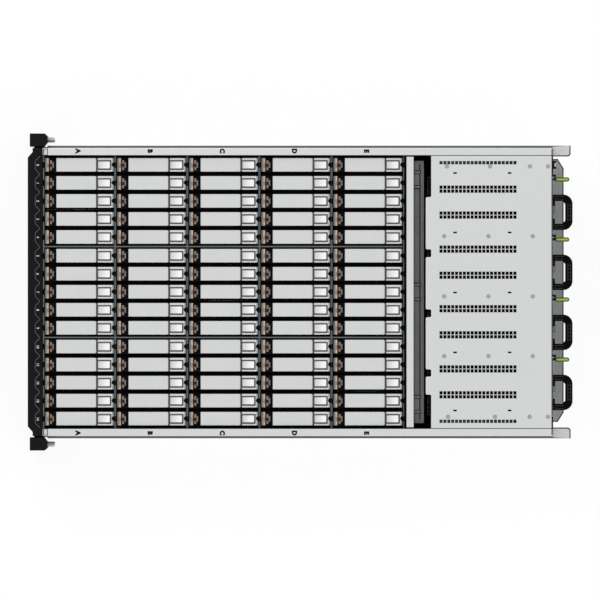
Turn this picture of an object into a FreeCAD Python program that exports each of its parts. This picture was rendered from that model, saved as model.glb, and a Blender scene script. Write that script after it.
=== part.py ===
"""Four-unit rack enclosure for 75 top-loaded 3.5-inch disks, with its drive-zone lid taken off.

Five columns of fifteen upright disk modules stand on backplanes between folded dividers. Behind a
cross beam and the vertical midplane lie three tiers of plug-in modules: four power supplies, four
fan modules and two expansion modules. Millimetres; +X is right seen from the front, +Y is to the
rear and +Z is up. The origin is the centre of the enclosure's footprint, on the surface it stands on.
"""
import FreeCAD
import Part
import math
import os

# Sheet metal and fits
sheet = 1.2                 # tray, cover and front panel
wall_sheet = 1.0            # bay walls and shelves
fit = 0.1                   # gap between fixed sheets that meet at an edge
slip = 0.5                  # gap above and beside a piece that slides in a bay
seat = 0.05                 # gap under a piece that slides on what carries it
bend_radius = 1.8

# Disk field
disk_width = 101.6
disk_thickness = 26.1
disk_length = 147.0
row_gap = 1.35
group_gap = 1.05            # extra gap where a row divider stands
group_row_count = 5
groups = 3
columns = 5
column_gap = 8.2
disk_shift = 0.25           # how far each disk stands behind the middle of its cell
side_margin = 0.35

# Disk carrier, measured along a cell from its front divider
head_width = 21.2
head_height = 6.8
head_recess = 4.0           # carrier tops below the top of the enclosure
rail_thickness = 1.3
rail_gap = 0.15
strip_length = 6.4
head_deck = 2.0             # thickness of the carrier's deck under the handle
window_length = 9.5
handle_length = 61.4
handle_gap = 1.6
handle_lift = 0.1           # air under the handle, for its swing
latch_gap = 1.7
latch_block_drop = 0.8      # latch block below the carrier's top
button_rise = 0.4           # button above the carrier's top
button_width = 15.0
button_length = 19.2
button_inset = 0.3
bottom_reach = 2.5          # carrier rails below the disk

# Dividers
divider = 2.9               # hemmed walls between columns
row_wall = 1.8
divider_drop = 7.0          # divider tops below the top of the enclosure
notch_width = 8.0
notch_depth = 7.0

# Backplanes
board_rise = 10.45          # boards above the surface that the enclosure stands on
board_thickness = 2.0
connector_height = 4.7
connector_length = 42.0
connector_width = 6.0
support_width = 8.0
supports = 4

# Outside
flange_width = 12.05
ear_width = 22.0
bezel_depth = 22.6
bezel_wall = 2.5
bezel_shoulder = 7.4        # how far the bezel's neck stands back from its front
bezel_neck = 6.2
bezel_chamfer = 8.4
window_bar = 14.0           # between two of the bezel's windows
window_margin = 14.0        # above and below them
grille_sheet = 1.5
grille_lap = 1.2            # grille beyond its window's edge
grille_slot = 19.0
grille_margin = 5.0
joggle_drop = 3.0           # joggled end of a top flange, below the flange
joggle_inset = 1.5
flange_setback = 7.2        # top flanges begin this far behind the front panel
panel_margin = 9.0

# Beam, midplane and rear zone, front to back
beam_gap = 3.4
beam_depth = 11.6
beam_drop = 22.0
frame_gap = 1.2
frame_depth = 14.6
frame_inset = 18.53         # frame's end to the side wall
frame_drop = 25.0           # frame's top below the top of the enclosure
frame_rail = 14.0
slot_to_rear = 5.1
pad_width = 22.0
pad_height = 1.6
pad_pitch = 171.0
cover_gap = 2.6
cover_depth = 192.8
cover_notch = 8.5
tongue_start = 32.0         # tongues of the cover's front edge, from the bay walls
tongue_end = 20.0
last_tongue_end = -33.0
tray_overhang = 1.5
face_overhang = 0.6         # module faces behind the cover's rear edge
wall_setback = 8.6          # bay walls begin this far behind the cover's front edge

# Power supplies
psu_count = 4
psu_width = 86.3
psu_height = 40.0
psu_setback = 2.8           # case's front end behind the cover's front edge, less the face overhang
psu_gap = 5.1
psu_bank_offset = 6.4       # bank centre, right of the enclosure's centre
handle_offset = 9.4
handle_span = 54.0
handle_reach = 30.3
handle_bar = 9.8
handle_bar_height = 8.0
handle_outer_radius = 14.0
handle_inner_chamfer = 4.0
handle_drop = 4.5
inlet_width = 27.0
inlet_height = 20.0
inlet_depth = 17.0
inlet_inset = 17.15         # inlet's middle to the case's right side
inlet_rise = 3.0
vent_width = 38.0
vent_height = 28.0
vent_depth = 3.0
vent_offset = -14.0
latch_inset = 2.55          # latch's middle to the case's left side
latch_tab = 6.0
latch_height = 14.0
latch_reach = 25.6
latch_root = 9.0

# Fan modules, one under each power supply
fan_height = 80.6
fan_depth = 58.0
fan_bore = 76.0
duct_sides = 24
fan_guard = 2.0
guard_slots = 7
guard_slot_pitch = 9.8
guard_slot_height = 6.8
rotor_radius = 36.3
rotor_length = 34.0
hub_radius = 17.0
hub_sides = 18
blades = 6
blade_thickness = 2.4
blade_pitch_angle = 38.0
rotor_setback = 8.0
pull_width = 18.0
pull_reach = 5.0

# Expansion modules
iom_side_gap = 1.6
iom_board_rise = 5.0
port_width = 17.0
port_height = 13.0
port_depth = 24.0
port_wall = 1.2
ports_in_module = 2
port_pitch = 24.0
net_port_size = 12.0
net_port_wall = 1.0
lever_length = 54.0
lever_height = 8.0
lever_thickness = 3.0
lever_pin_inset = 5.0
lever_heel = 1.4            # lever beyond its pin
lever_gap = 0.8
lever_lift = 2.5            # lever above the middle of the module's height
port_lift = 4.0             # ports above the board
port_bank_offset = -14.0
net_port_offset = 30.0
net_port_depth = 14.0
iom_board_inset = 3.0
iom_foot = 8.0              # square feet under the module's board
iom_foot_inset = 12.0
sink_side = 56.0            # square heat sink on the module's board
sink_height = 16.0
sink_base = 4.0
sink_fins = 5
fin_pitch = 9.0
fin_groove = 4.0

# Slide members on the side walls
slide_thickness = 3.5
slide_web = 1.5
slide_height = 44.0
slide_drop = 23.0           # slide's top below the top of the enclosure
slide_lip = 6.0
slide_link = 20.0           # length of the tab's root inside the slide
tab_length = 26.2
tab_depth = 16.0
tab_radius = 4.0

# Rear lip of the tray
lip_reach = 17.1
lip_left = 203.0
lip_right = 198.0
lip_chamfer_x = 14.5
lip_chamfer_y = 9.0

# Ears and screws
ear_front = 19.55           # ear face ahead of the front panel
ear_back = 7.5              # ear seat behind the front panel's front face
ear_corner = 4.4
ear_gap = 2.5               # between the ear's block and the bezel
ear_foot_setback = 6.0      # foot's front end behind the ear's face
ear_bracket_length = 45.0
ear_bracket_height = 80.0
ear_bracket_gap = 8.0       # bracket below the slide member
ear_bracket_sheet = 1.8
screw_inset = 9.2           # screw axis in from the ear's outer edge
screw_spacing = 101.6
screw_radius = 3.9
screw_reach = 10.3
screw_play = 0.1            # ear's hole round the pin
screw_gap = 0.05            # ear's hole round the shank
screw_sides = 12
screw_neck_radius = 3.2
screw_neck = 0.5            # length of the neck between the ear's seat and the pin
screw_shank_drop = 0.2      # shank's end below the ear's seat
thumb_radius = 5.5
thumb_sides = 16
thumb_head = 5.6
thumb_shaft_radius = 2.0
thumb_gap = 0.05            # filler's hole round the shaft
thumb_offset = 4.1          # right of the middle of its filler plate

# Disk modules that are modelled free to lift out: (column, row)
free_modules = {"a2": (0, 2), "c7": (2, 7), "e12": (4, 12)}

# Worked out: disk field
row_pitch = disk_thickness + row_gap
column_pitch = disk_width + column_gap
group_pitch = group_row_count * row_pitch + group_gap
rows = group_row_count * groups
field_half = (groups * group_row_count * row_pitch + (groups - 1) * group_gap) / 2 + side_margin
body_half = field_half + flange_width
inner_half = body_half - sheet
rack_half = body_half + ear_width
psu_depth = cover_depth - psu_setback
psu_pitch = psu_width + psu_gap
bank_half = psu_count * psu_pitch / 2
frame_half_length = inner_half - frame_inset

# Worked out: stations along Y
overall_depth = (bezel_depth + sheet / 2 + columns * column_pitch + beam_gap + beam_depth
                 + frame_gap + frame_depth + cover_gap + cover_depth + face_overhang + handle_reach)
y_front = -overall_depth / 2
y_panel = y_front + bezel_depth
y_cells = y_panel + sheet / 2
y_beam = y_cells + columns * column_pitch + beam_gap
y_frame = y_beam + beam_depth + frame_gap
y_cover = y_frame + frame_depth + cover_gap
y_cover_end = y_cover + cover_depth
y_tray_end = y_cover_end + tray_overhang
y_face = y_cover_end + face_overhang
y_walls = y_cover + wall_setback

# Worked out: levels along Z
z_board = board_rise
z_board_top = z_board + board_thickness
z_disk = z_board_top + connector_height + seat
z_disk_top = z_disk + disk_length
z_head_top = z_disk_top + head_height
z_block_top = z_head_top - latch_block_drop
height = z_head_top + head_recess
z_under_cover = height - sheet
z_divider = z_board_top + 1.0
z_divider_top = height - divider_drop
frame_top = height - frame_drop
slide_top = height - slide_drop
z_psu = z_under_cover - slip - psu_height - 1.3
z_shelf_high = z_psu - seat - wall_sheet
z_fan = z_shelf_high - slip - fan_height
z_shelf_low = z_fan - seat - wall_sheet
z_iom = sheet + seat
iom_height = z_shelf_low - slip - z_iom
z_port = z_iom + iom_board_rise + port_lift
z_lever = z_iom + iom_height / 2 + lever_lift

# Worked out: the thumbscrew, in the filler plate left of the power supplies
filler_half = inner_half - fit
filler_edge = bank_half + wall_sheet
thumb_x = (psu_bank_offset - filler_edge - filler_half) / 2 + thumb_offset
thumb_z = z_psu + psu_height / 2


def box(x0, x1, y0, y1, z0, z1):
    """A block between two corners."""
    return Part.makeBox(x1 - x0, y1 - y0, z1 - z0, FreeCAD.Vector(x0, y0, z0))


def outline(points, lift):
    """A closed polygon; lift turns each 2-D point into a 3-D one."""
    corners = [lift(a, b) for a, b in points]
    return Part.makePolygon(corners + corners[:1])


def prism_z(points, z0, z1):
    """A plan outline in (x, y), raised from z0 to z1."""
    wire = outline(points, lambda x, y: FreeCAD.Vector(x, y, z0))
    return Part.Face(wire).extrude(FreeCAD.Vector(0, 0, z1 - z0))


def prism_x(points, x0, x1):
    """A side outline in (y, z), drawn across from x0 to x1."""
    wire = outline(points, lambda y, z: FreeCAD.Vector(x0, y, z))
    return Part.Face(wire).extrude(FreeCAD.Vector(x1 - x0, 0, 0))


def prism_y(points, y0, y1):
    """A front outline in (x, z), drawn back from y0 to y1."""
    wire = outline(points, lambda x, z: FreeCAD.Vector(x, y0, z))
    return Part.Face(wire).extrude(FreeCAD.Vector(0, y1 - y0, 0))


def cylinder_y(x, z, radius, y0, y1):
    """A round bar along Y."""
    return Part.makeCylinder(radius, y1 - y0, FreeCAD.Vector(x, y0, z), FreeCAD.Vector(0, 1, 0))


def ring(x, z, radius, sides):
    """Corners of a regular polygon in the XZ plane, round a centre."""
    turns = [2 * math.pi * (n + 0.5) / sides for n in range(sides)]
    return [(x + radius * math.cos(t), z + radius * math.sin(t)) for t in turns]


def outside(radius, sides):
    """Corner radius of a regular polygon drawn round a circle."""
    return radius / math.cos(math.pi / sides)


def mirrored(shape):
    """The same piece on the other side of the enclosure."""
    return shape.mirror(FreeCAD.Vector(0, 0, 0), FreeCAD.Vector(1, 0, 0))


def rounded(shape, radius, chosen):
    """Fillets the straight edges whose middle point passes the test."""
    edges = [e for e in shape.Edges if chosen(e.CenterOfMass, e)]
    return shape.makeFillet(radius, edges)


def along(edge, axis):
    """True if the edge runs along the axis, given as x, y or z."""
    box_of_edge = edge.BoundBox
    spans = {"x": box_of_edge.XLength, "y": box_of_edge.YLength, "z": box_of_edge.ZLength}
    return spans.pop(axis) > 0.01 and max(spans.values()) < 0.01


def save(node, solids):
    """Writes one node; a node may hold several separate solids."""
    shape = solids[0] if len(solids) == 1 else Part.makeCompound(solids)
    shape.exportStep("parts/" + node + ".step")


def row_x(row):
    """Centre of a disk row, left to right."""
    group, place = divmod(row, group_row_count)
    return ((group - (groups - 1) / 2) * group_pitch
            + (place - (group_row_count - 1) / 2) * row_pitch)


def divider_y(index):
    """Centre of a column divider; number 0 is the front panel."""
    return y_cells + index * column_pitch


def group_x():
    """Centres of the groups of rows, left to right."""
    return [(g - (groups - 1) / 2) * group_pitch for g in range(groups)]


def group_edges():
    """The two lines between the three groups of rows."""
    return [(i - (groups - 2) / 2) * group_pitch for i in range(groups - 1)]


def psu_x(index):
    """Centre of a power supply, left to right."""
    return psu_bank_offset + (index - (psu_count - 1) / 2) * psu_pitch


# ---------------------------------------------------------------- fixed sheet metal

def base_tray():
    """Folded tray: floor, side walls, top flanges with joggled front ends, rear lip and supports."""
    b, i, f = body_half, inner_half, body_half - flange_width
    section = [(-b, 0), (b, 0), (b, height), (f, height), (f, height - sheet), (i, height - sheet),
               (i, sheet), (-i, sheet), (-i, height - sheet), (-f, height - sheet), (-f, height),
               (-b, height)]
    tray = prism_y(section, y_panel, y_tray_end)
    tray = rounded(tray, bend_radius, lambda c, e: along(e, "y") and abs(c.x) > b - 0.1 and c.z > 1)
    clear_front = box(-i, i, y_panel, y_panel + flange_setback, sheet + 1, height + 1)
    joggle = box(f + joggle_inset, i + sheet / 2, y_panel, y_panel + flange_setback + 1,
                 height - joggle_drop - sheet, height - joggle_drop)
    y_lip = y_tray_end + lip_reach
    lip = prism_z([(-lip_left, y_tray_end - 1), (lip_right, y_tray_end - 1),
                   (lip_right, y_lip - lip_chamfer_y), (lip_right - lip_chamfer_x, y_lip),
                   (lip_chamfer_x - lip_left, y_lip), (-lip_left, y_lip - lip_chamfer_y)], 0, sheet)
    ribs = []
    for n in range(supports):
        x = (n - (supports - 1) / 2) * 2 * field_half / supports
        ribs.append(box(x - support_width / 2, x + support_width / 2, y_panel + 2 * sheet,
                        divider_y(columns), sheet / 2, z_board))
    return tray.cut(clear_front).fuse([lip, joggle, mirrored(joggle)] + ribs).removeSplitter()


def slide_member(side):
    """Rack slide member on a side wall, with the guard tab at its rear end."""
    x0, x1 = body_half, body_half + slide_thickness
    z0, z1 = slide_top - slide_height, slide_top
    section = [(x0, z0), (x1, z0), (x1, z0 + slide_lip), (x0 + slide_web, z0 + slide_lip),
               (x0 + slide_web, z1 - slide_lip), (x1, z1 - slide_lip), (x1, z1), (x0, z1)]
    bar = prism_y(section, y_panel + flange_setback, y_tray_end)
    y_end = y_tray_end + fit + tab_length
    web = box(x1 - slide_web, x1, y_tray_end, y_end, z0, z1)
    link = box(x0, x1, y_tray_end - slide_link, y_tray_end, z0 + slide_lip, z1 - slide_lip)
    tab = box(x1 - tab_depth, x1, y_tray_end + fit, y_end, z1 - slide_web, z1)
    tab = rounded(tab, tab_radius, lambda c, e: along(e, "z") and c.x < x0 and c.y > y_end - 1)
    member = bar.fuse([web, link, tab]).removeSplitter()
    return member if side > 0 else mirrored(member)


def latch_notches(y):
    """Cutters for the notches at every row, where a carrier's latch hooks in."""
    return [box(row_x(r) - notch_width / 2, row_x(r) + notch_width / 2, y - divider,
                y + divider, z_divider_top - notch_depth, height) for r in range(rows)]


def front_panel():
    """Flat front wall with an air opening in front of every group of rows."""
    plate = box(-inner_half + fit, inner_half - fit, y_panel, y_panel + sheet, sheet, z_divider_top)
    half = group_pitch / 2 - panel_margin
    openings = [box(x - half, x + half, y_panel - 1, y_panel + sheet + 1, z_disk,
                    z_divider_top - 2 * notch_depth) for x in group_x()]
    return plate.cut(openings + latch_notches(y_panel + sheet / 2))


def bezel_plan(inset):
    """The bezel's plan outline, offset inwards on its front and sides."""
    b = body_half - inset
    neck = y_front + bezel_shoulder + inset
    shoulder = body_half - bezel_neck - 0.4 * inset
    nose = body_half - bezel_neck - bezel_chamfer - 0.4 * inset
    return [(-b, neck), (-shoulder, neck), (-nose, y_front + inset), (nose, y_front + inset),
            (shoulder, neck), (b, neck), (b, y_panel), (-b, y_panel)]


def bezel_shell():
    """Moulded bezel: an open-backed shell with a window in front of every group of rows."""
    shell = prism_z(bezel_plan(0), 0, height).cut(
        prism_z(bezel_plan(bezel_wall), bezel_wall, height - bezel_wall))
    half = (group_pitch - window_bar) / 2
    windows = [box(x - half, x + half, y_front - 1, y_front + 2 * bezel_wall, window_margin,
                   height - window_margin) for x in group_x()]
    return shell.cut(windows)


def bezel_grille():
    """Flat grille behind the bezel's windows, with a tall slot in front of every row."""
    y0 = y_front + bezel_wall + seat
    window = group_pitch - window_bar
    half = group_x()[-1] + window / 2 + grille_lap
    z0, z1 = window_margin - grille_lap, height - window_margin + grille_lap
    plate = box(-half, half, y0, y0 + grille_sheet, z0, z1)
    slots = []
    for x in group_x():
        for n in range(group_row_count):
            middle = x + (n - (group_row_count - 1) / 2) * window / group_row_count
            slots.append(box(middle - grille_slot / 2, middle + grille_slot / 2, y0 - 1,
                             y0 + grille_sheet + 1, z0 + grille_lap + grille_margin,
                             z1 - grille_lap - grille_margin))
    return plate.cut(slots)


def column_divider(index):
    """Hemmed wall behind a disk column, with a latch notch at every row."""
    y = divider_y(index)
    w = inner_half - fit
    wall = box(-w, w, y - divider / 2, y + divider / 2, z_divider, z_divider_top)
    return wall.cut(latch_notches(y))


def row_divider(x, column):
    """Fore-and-aft wall between two groups of rows, from one column wall to the next."""
    y0 = divider_y(column) + (divider / 2 if column else sheet / 2) + fit
    return box(x - row_wall / 2, x + row_wall / 2, y0, divider_y(column + 1) - divider / 2 - fit,
               z_divider, z_divider_top)


def backplanes():
    """One board per column, with a connector under every disk."""
    solids = []
    for c in range(columns):
        solids.append(box(-field_half + 1, field_half - 1, divider_y(c) + 1.5,
                          divider_y(c + 1) - 1.5, z_board, z_board_top))
        y = disk_y(c) + 8
        for r in range(rows):
            solids.append(box(row_x(r) - connector_width / 2, row_x(r) + connector_width / 2,
                              y, y + connector_length, z_board_top, z_board_top + connector_height))
    return solids


# ---------------------------------------------------------------- disk modules

def disk_y(column):
    """Front face of a disk in its cell."""
    return divider_y(column) + (column_pitch - disk_width) / 2 + disk_shift


def disk(column, row):
    """The bare disk: connector edge down, long edges fore and aft."""
    x, y = row_x(row), disk_y(column)
    return [box(x - disk_thickness / 2, x + disk_thickness / 2, y, y + disk_width, z_disk, z_disk_top)]


def carrier_stations(column):
    """Stations of a carrier's head along Y."""
    y0 = disk_y(column) - rail_gap - rail_thickness
    y1 = disk_y(column) + disk_width + rail_gap + rail_thickness
    handle = y0 + strip_length + window_length + handle_gap
    block = handle + handle_length + latch_gap
    return y0, y1, handle, block


def carrier(column, row):
    """Disk carrier in three parts: a rail down each end of the disk, and the head that joins them."""
    y0, y1, handle, block = carrier_stations(column)
    z0 = z_disk - bottom_reach
    deck = z_disk_top + head_deck
    side = [(y0, z_disk_top), (y1, z_disk_top), (y1, z_block_top), (block, z_block_top), (block, deck),
            (handle - handle_gap, deck), (handle - handle_gap, z_head_top), (y0, z_head_top)]
    x0, x1 = row_x(row) - head_width / 2, row_x(row) + head_width / 2
    return [prism_x(side, x0, x1), box(x0, x1, y0, y0 + rail_thickness, z0, z_disk_top),
            box(x0, x1, y1 - rail_thickness, y1, z0, z_disk_top)]


def carrier_handle(column, row):
    """Lever between the indicator end and the latch; it swings up about its front pin."""
    handle = carrier_stations(column)[2]
    x, half = row_x(row), head_width / 2
    return [box(x - half, x + half, handle, handle + handle_length,
                z_disk_top + head_deck + handle_lift, z_head_top)]


def carrier_latch(column, row):
    """Sliding catch button on the latch block."""
    y = carrier_stations(column)[3] + button_inset
    x, half = row_x(row), button_width / 2
    return [box(x - half, x + half, y, y + button_length, z_block_top + seat, z_head_top + button_rise)]


# ---------------------------------------------------------------- beam, midplane, rear cover

def cross_beam():
    """Inverted channel behind the disks, hung from the side flanges by its end tabs."""
    reach = field_half - fit
    y1 = y_beam + beam_depth
    z0 = height - beam_drop
    section = [(y_beam, z0), (y_beam + sheet, z0), (y_beam + sheet, z_under_cover),
               (y1 - sheet, z_under_cover), (y1 - sheet, z0), (y1, z0), (y1, height), (y_beam, height)]
    beam = prism_x(section, -reach, reach)
    tabs = [box(min(s * (reach - 10), s * (inner_half - fit)), max(s * (reach - 10), s * (inner_half - fit)),
                y_beam + sheet, y1 - sheet, z_under_cover - sheet, z_under_cover) for s in (-1, 1)]
    return beam.fuse(tabs).removeSplitter()


def midplane_frame():
    """Portal frame with a slot that holds the midplane board, and cable pads on its front rail."""
    f = frame_half_length
    y1 = y_frame + frame_depth
    frame = box(-f, f, y_frame, y1, sheet, frame_top)
    window = box(frame_rail - f, f - frame_rail, y_frame - 1, y1 + 1, sheet + frame_rail,
                 frame_top - frame_rail)
    slot_y = y1 - slot_to_rear - board_thickness - fit / 2
    slot = box(5 - f, f - 5, slot_y, slot_y + board_thickness + fit, sheet + 5, frame_top + 1)
    pads = [box(x - pad_width / 2, x + pad_width / 2, y_frame, slot_y, frame_top, frame_top + pad_height)
            for x in (-pad_pitch, 0, pad_pitch)]
    return frame.cut([window, slot]).fuse(pads).removeSplitter()


def midplane_board():
    """Vertical board in the frame's slot."""
    f = frame_half_length
    y0 = y_frame + frame_depth - slot_to_rear - board_thickness
    return box(5 + fit - f, f - 5 - fit, y0, y0 + board_thickness, sheet + 5, frame_top - 2)


def cover_plan():
    """Plan of the rear cover: its front edge is cut back except at four tongues."""
    e = field_half - fit
    y0, y1, y2 = y_cover, y_cover + cover_notch, y_cover_end
    walls = [psu_x(n) - psu_pitch / 2 for n in range(psu_count + 1)]
    ends = [tongue_end] * (psu_count - 1) + [last_tongue_end]
    tongues = [(walls[n] + tongue_start, walls[n + 1] + end) for n, end in enumerate(ends)]
    points = [(-e, y1)]
    for a, b in tongues:
        points += [(a, y1), (a, y0), (b, y0), (b, y1)]
    return points + [(e, y1), (e, y2), (-e, y2)]


def rear_cover():
    """Cover over the plug-in modules, with side lips under the tray's flanges."""
    plate = prism_z(cover_plan(), z_under_cover, height)
    lips = []
    for s in (-1, 1):
        a, b = s * (field_half - 4), s * (inner_half - fit)
        lips.append(box(min(a, b), max(a, b), y_cover + cover_notch, y_cover_end,
                        z_under_cover - sheet, z_under_cover))
    return plate.fuse(lips).removeSplitter()


def bay_shelves():
    """The two shelves that carry the power supplies and the fan modules."""
    w = inner_half - fit
    return [box(-w, w, y_walls, y_cover_end, z, z + wall_sheet) for z in (z_shelf_low, z_shelf_high)]


def bay_walls():
    """Upright walls between the plug-in modules of all three tiers."""
    t = wall_sheet / 2
    solids = []
    for n in range(psu_count + 1):
        x = psu_x(n) - psu_pitch / 2
        solids.append(box(x - t, x + t, y_walls, y_cover_end, z_shelf_high + wall_sheet, z_under_cover))
        solids.append(box(x - t, x + t, y_walls, y_cover_end, z_shelf_low + wall_sheet, z_shelf_high))
    for x in (psu_x(0) - psu_pitch / 2, psu_bank_offset, psu_x(psu_count - 1) + psu_pitch / 2):
        solids.append(box(x - t, x + t, y_walls, y_cover_end, sheet, z_shelf_low))
    return solids


def rear_fillers():
    """Blank plates between the side walls and the outermost bays; the left one has a screw hole."""
    y0 = y_cover_end + fit / 2
    z1 = z_under_cover - sheet - fit
    clear = outside(thumb_shaft_radius + thumb_gap, thumb_sides // 2)
    bore = prism_y(ring(thumb_x, thumb_z, clear, thumb_sides // 2), y_cover_end, y0 + 2 * sheet)
    return [box(-filler_half, psu_bank_offset - filler_edge, y0, y0 + sheet, sheet, z1).cut(bore),
            box(psu_bank_offset + filler_edge, filler_half, y0, y0 + sheet, sheet, z1)]


# ---------------------------------------------------------------- ears and screws

def screw_levels():
    """Heights of the two captive screws in an ear."""
    return (height / 2 - screw_spacing / 2, height / 2 + screw_spacing / 2)


def screw_x():
    """Distance of the captive screws from the centre."""
    return rack_half - screw_inset


def screw_hole():
    """Corner radius of an ear's screw hole, whose flats clear the round pin."""
    return outside(screw_radius + screw_play, screw_sides)


def ear(side):
    """Cast ear with its side bracket and two screw holes."""
    f, o, c = body_half + ear_gap, rack_half, ear_corner
    y0, y1 = y_panel - ear_front, y_panel + ear_back
    plan = [(f, y0), (o, y0), (o, y1 - c), (o - c, y1), (f + 6.4, y1), (f + 4.8, y1 - 2.4),
            (f, y1 - 5.6)]
    body = prism_z(plan, 0, height)
    z1 = slide_top - slide_height - ear_bracket_gap
    z0 = z1 - ear_bracket_height
    bracket = box(body_half, body_half + ear_bracket_sheet, y1 - 5.6 - 2, y1 + ear_bracket_length, z0, z1)
    foot = box(body_half, f + 1, y0 + ear_foot_setback, y1 - 5.6, z0, z1)
    body = body.fuse([bracket, foot]).removeSplitter()
    body = body.cut([prism_y(ring(screw_x(), z, screw_hole(), screw_sides), y0 - 1, y1 + 1)
                     for z in screw_levels()])
    return body if side > 0 else mirrored(body)


def ear_screw(side, z):
    """Captive rack screw: a shank in the ear, a short neck, and the pin that stands out behind it."""
    x, y_seat = side * screw_x(), y_panel + ear_back
    shank = prism_y(ring(x, z, screw_hole() - screw_gap, screw_sides), y_panel - ear_front + 0.6,
                    y_seat - screw_shank_drop)
    neck = prism_y(ring(x, z, screw_neck_radius, screw_sides), y_seat - 2 * screw_shank_drop,
                   y_seat + 2 * screw_neck)
    pin = cylinder_y(x, z, screw_radius, y_seat + screw_neck, y_seat + screw_reach)
    return shank.fuse([neck, pin])


def rear_thumbscrew():
    """Thumbscrew in the left filler plate, with flats round its head."""
    y0 = y_cover_end + fit / 2 + sheet + fit
    head = prism_y(ring(thumb_x, thumb_z, thumb_radius, thumb_sides), y0, y0 + thumb_head)
    shaft = prism_y(ring(thumb_x, thumb_z, thumb_shaft_radius, thumb_sides // 2), y_cover_end - 8, y0 + 1)
    return head.fuse(shaft).removeSplitter()


# ---------------------------------------------------------------- power supplies

def inlet_x(index):
    """Centre of a power supply's mains inlet."""
    return psu_x(index) + psu_width / 2 - inlet_inset


def latch_x(index):
    """Centre of a power supply's release latch."""
    return psu_x(index) - psu_width / 2 + latch_inset


def psu_case(index):
    """Closed sheet case; its rear face has the vent recess, the mains inlet and the latch's notch."""
    x = psu_x(index)
    case = box(x - psu_width / 2, x + psu_width / 2, y_face - psu_depth, y_face, z_psu, z_psu + psu_height)
    vx, vz = x + vent_offset, z_psu + inlet_rise
    vent = box(vx - vent_width / 2, vx + vent_width / 2, y_face - vent_depth, y_face + 1, vz,
               vz + vent_height)
    ix = inlet_x(index)
    inlet = box(ix - inlet_width / 2, ix + inlet_width / 2, y_face - inlet_depth, y_face + 1,
                z_psu + inlet_rise, z_psu + inlet_rise + inlet_height)
    lx = latch_x(index)
    z_latch = z_psu + (psu_height - latch_height) / 2
    notch = box(x - psu_width / 2 - 1, lx + latch_tab / 2 + 1.6, y_face - latch_root - 1.5, y_face + 1,
                z_latch - fit, z_latch + latch_height + fit)
    return case.cut([vent, inlet, notch])


def psu_handle(index):
    """Moulded pull: a rounded loop that lies level across the upper part of the face."""
    x = psu_x(index) + handle_offset
    half, bar = handle_span / 2, handle_bar
    z1 = z_psu + psu_height - handle_drop
    z0 = z1 - handle_bar_height
    y1 = y_face + handle_reach
    loop = box(x - half, x + half, y_face, y1, z0, z1)
    loop = rounded(loop, handle_outer_radius, lambda c, e: along(e, "z") and c.y > y1 - 1)
    a, c = half - bar, handle_inner_chamfer
    opening = prism_z([(x - a, y_face - 1), (x + a, y_face - 1), (x + a, y1 - bar - c),
                       (x + a - c, y1 - bar), (x - a + c, y1 - bar), (x - a, y1 - bar - c)], z0 - 1, z1 + 1)
    return [loop.cut(opening)]


def psu_latch(index):
    """Release lever: a root in the case's notch and a tab with a tapered tip that is pushed sideways."""
    x = latch_x(index)
    a, b = latch_tab / 2, latch_tab / 4
    z0 = z_psu + (psu_height - latch_height) / 2
    y0, y1 = y_face + 4, y_face + latch_reach
    plan = [(x - 1.6, y_face - latch_root), (x + 1.6, y_face - latch_root), (x + 1.6, y0), (x + a, y0),
            (x + a, y1 - a), (x + b, y1 - 0.5), (x, y1), (x - b, y1 - 0.5), (x - a, y1 - a), (x - a, y0),
            (x - 1.6, y0)]
    return [prism_z(plan, z0, z0 + latch_height)]


# ---------------------------------------------------------------- fan modules

def fan_housing(index):
    """Fan frame with its duct, closed at the rear by a slotted guard; a pull tab below."""
    x, z = psu_x(index), z_fan + fan_height / 2
    y0 = y_face - fan_depth
    frame = box(x - psu_width / 2, x + psu_width / 2, y0, y_face, z_fan, z_fan + fan_height)
    duct = prism_y(ring(x, z, fan_bore / 2, duct_sides), y0 - 1, y_face - fan_guard)
    reach = fan_bore / 2 - 3
    slots = []
    for n in range(guard_slots):
        dz = (n - (guard_slots - 1) / 2) * guard_slot_pitch
        chord = math.sqrt(reach ** 2 - (abs(dz) + guard_slot_height / 2) ** 2)
        slots.append(box(x - chord, x + chord, y_face - 2 * fan_guard, y_face + 1,
                         z + dz - guard_slot_height / 2, z + dz + guard_slot_height / 2))
    pull = box(x - pull_width / 2, x + pull_width / 2, y_face - 1, y_face + pull_reach, z_fan, z_fan + 1.5)
    return frame.cut([duct] + slots).fuse(pull).removeSplitter()


def fan_rotor(index):
    """Hub with pitched blades, running on a stub that ends just before the guard."""
    x, z = psu_x(index), z_fan + fan_height / 2
    y1 = y_face - fan_guard - rotor_setback
    y0 = y1 - rotor_length
    hub = prism_y(ring(x, z, hub_radius, hub_sides), y0, y1)
    stub = prism_y(ring(x, z, hub_radius / 3, hub_sides // 3), y1 - 1, y_face - fan_guard - 2 * fit)
    blade_length = rotor_length - 6
    tilt = math.radians(blade_pitch_angle)
    across = blade_length / 2 * math.sin(tilt) + blade_thickness / 2 * math.cos(tilt)
    tip = math.sqrt(rotor_radius ** 2 - across ** 2)
    middle = FreeCAD.Vector(x, (y0 + y1) / 2, z)
    blade = box(x - blade_thickness / 2, x + blade_thickness / 2, middle.y - blade_length / 2,
                middle.y + blade_length / 2, z + hub_radius - 4, z + tip)
    blade.rotate(middle, FreeCAD.Vector(0, 0, 1), blade_pitch_angle)
    fins = []
    for n in range(blades):
        fin = blade.copy()
        fin.rotate(middle, FreeCAD.Vector(0, 1, 0), 360.0 * n / blades)
        fins.append(fin)
    return hub.fuse(fins + [stub]).removeSplitter()


# ---------------------------------------------------------------- expansion modules

def iom_span(side):
    """Left and right edge of an expansion module; side is -1 or 1."""
    outer = psu_pitch * psu_count / 2 - wall_sheet / 2 - slip
    inner = wall_sheet / 2 + iom_side_gap
    ends = (inner, outer) if side > 0 else (-outer, -inner)
    return ends[0] + psu_bank_offset, ends[1] + psu_bank_offset


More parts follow.
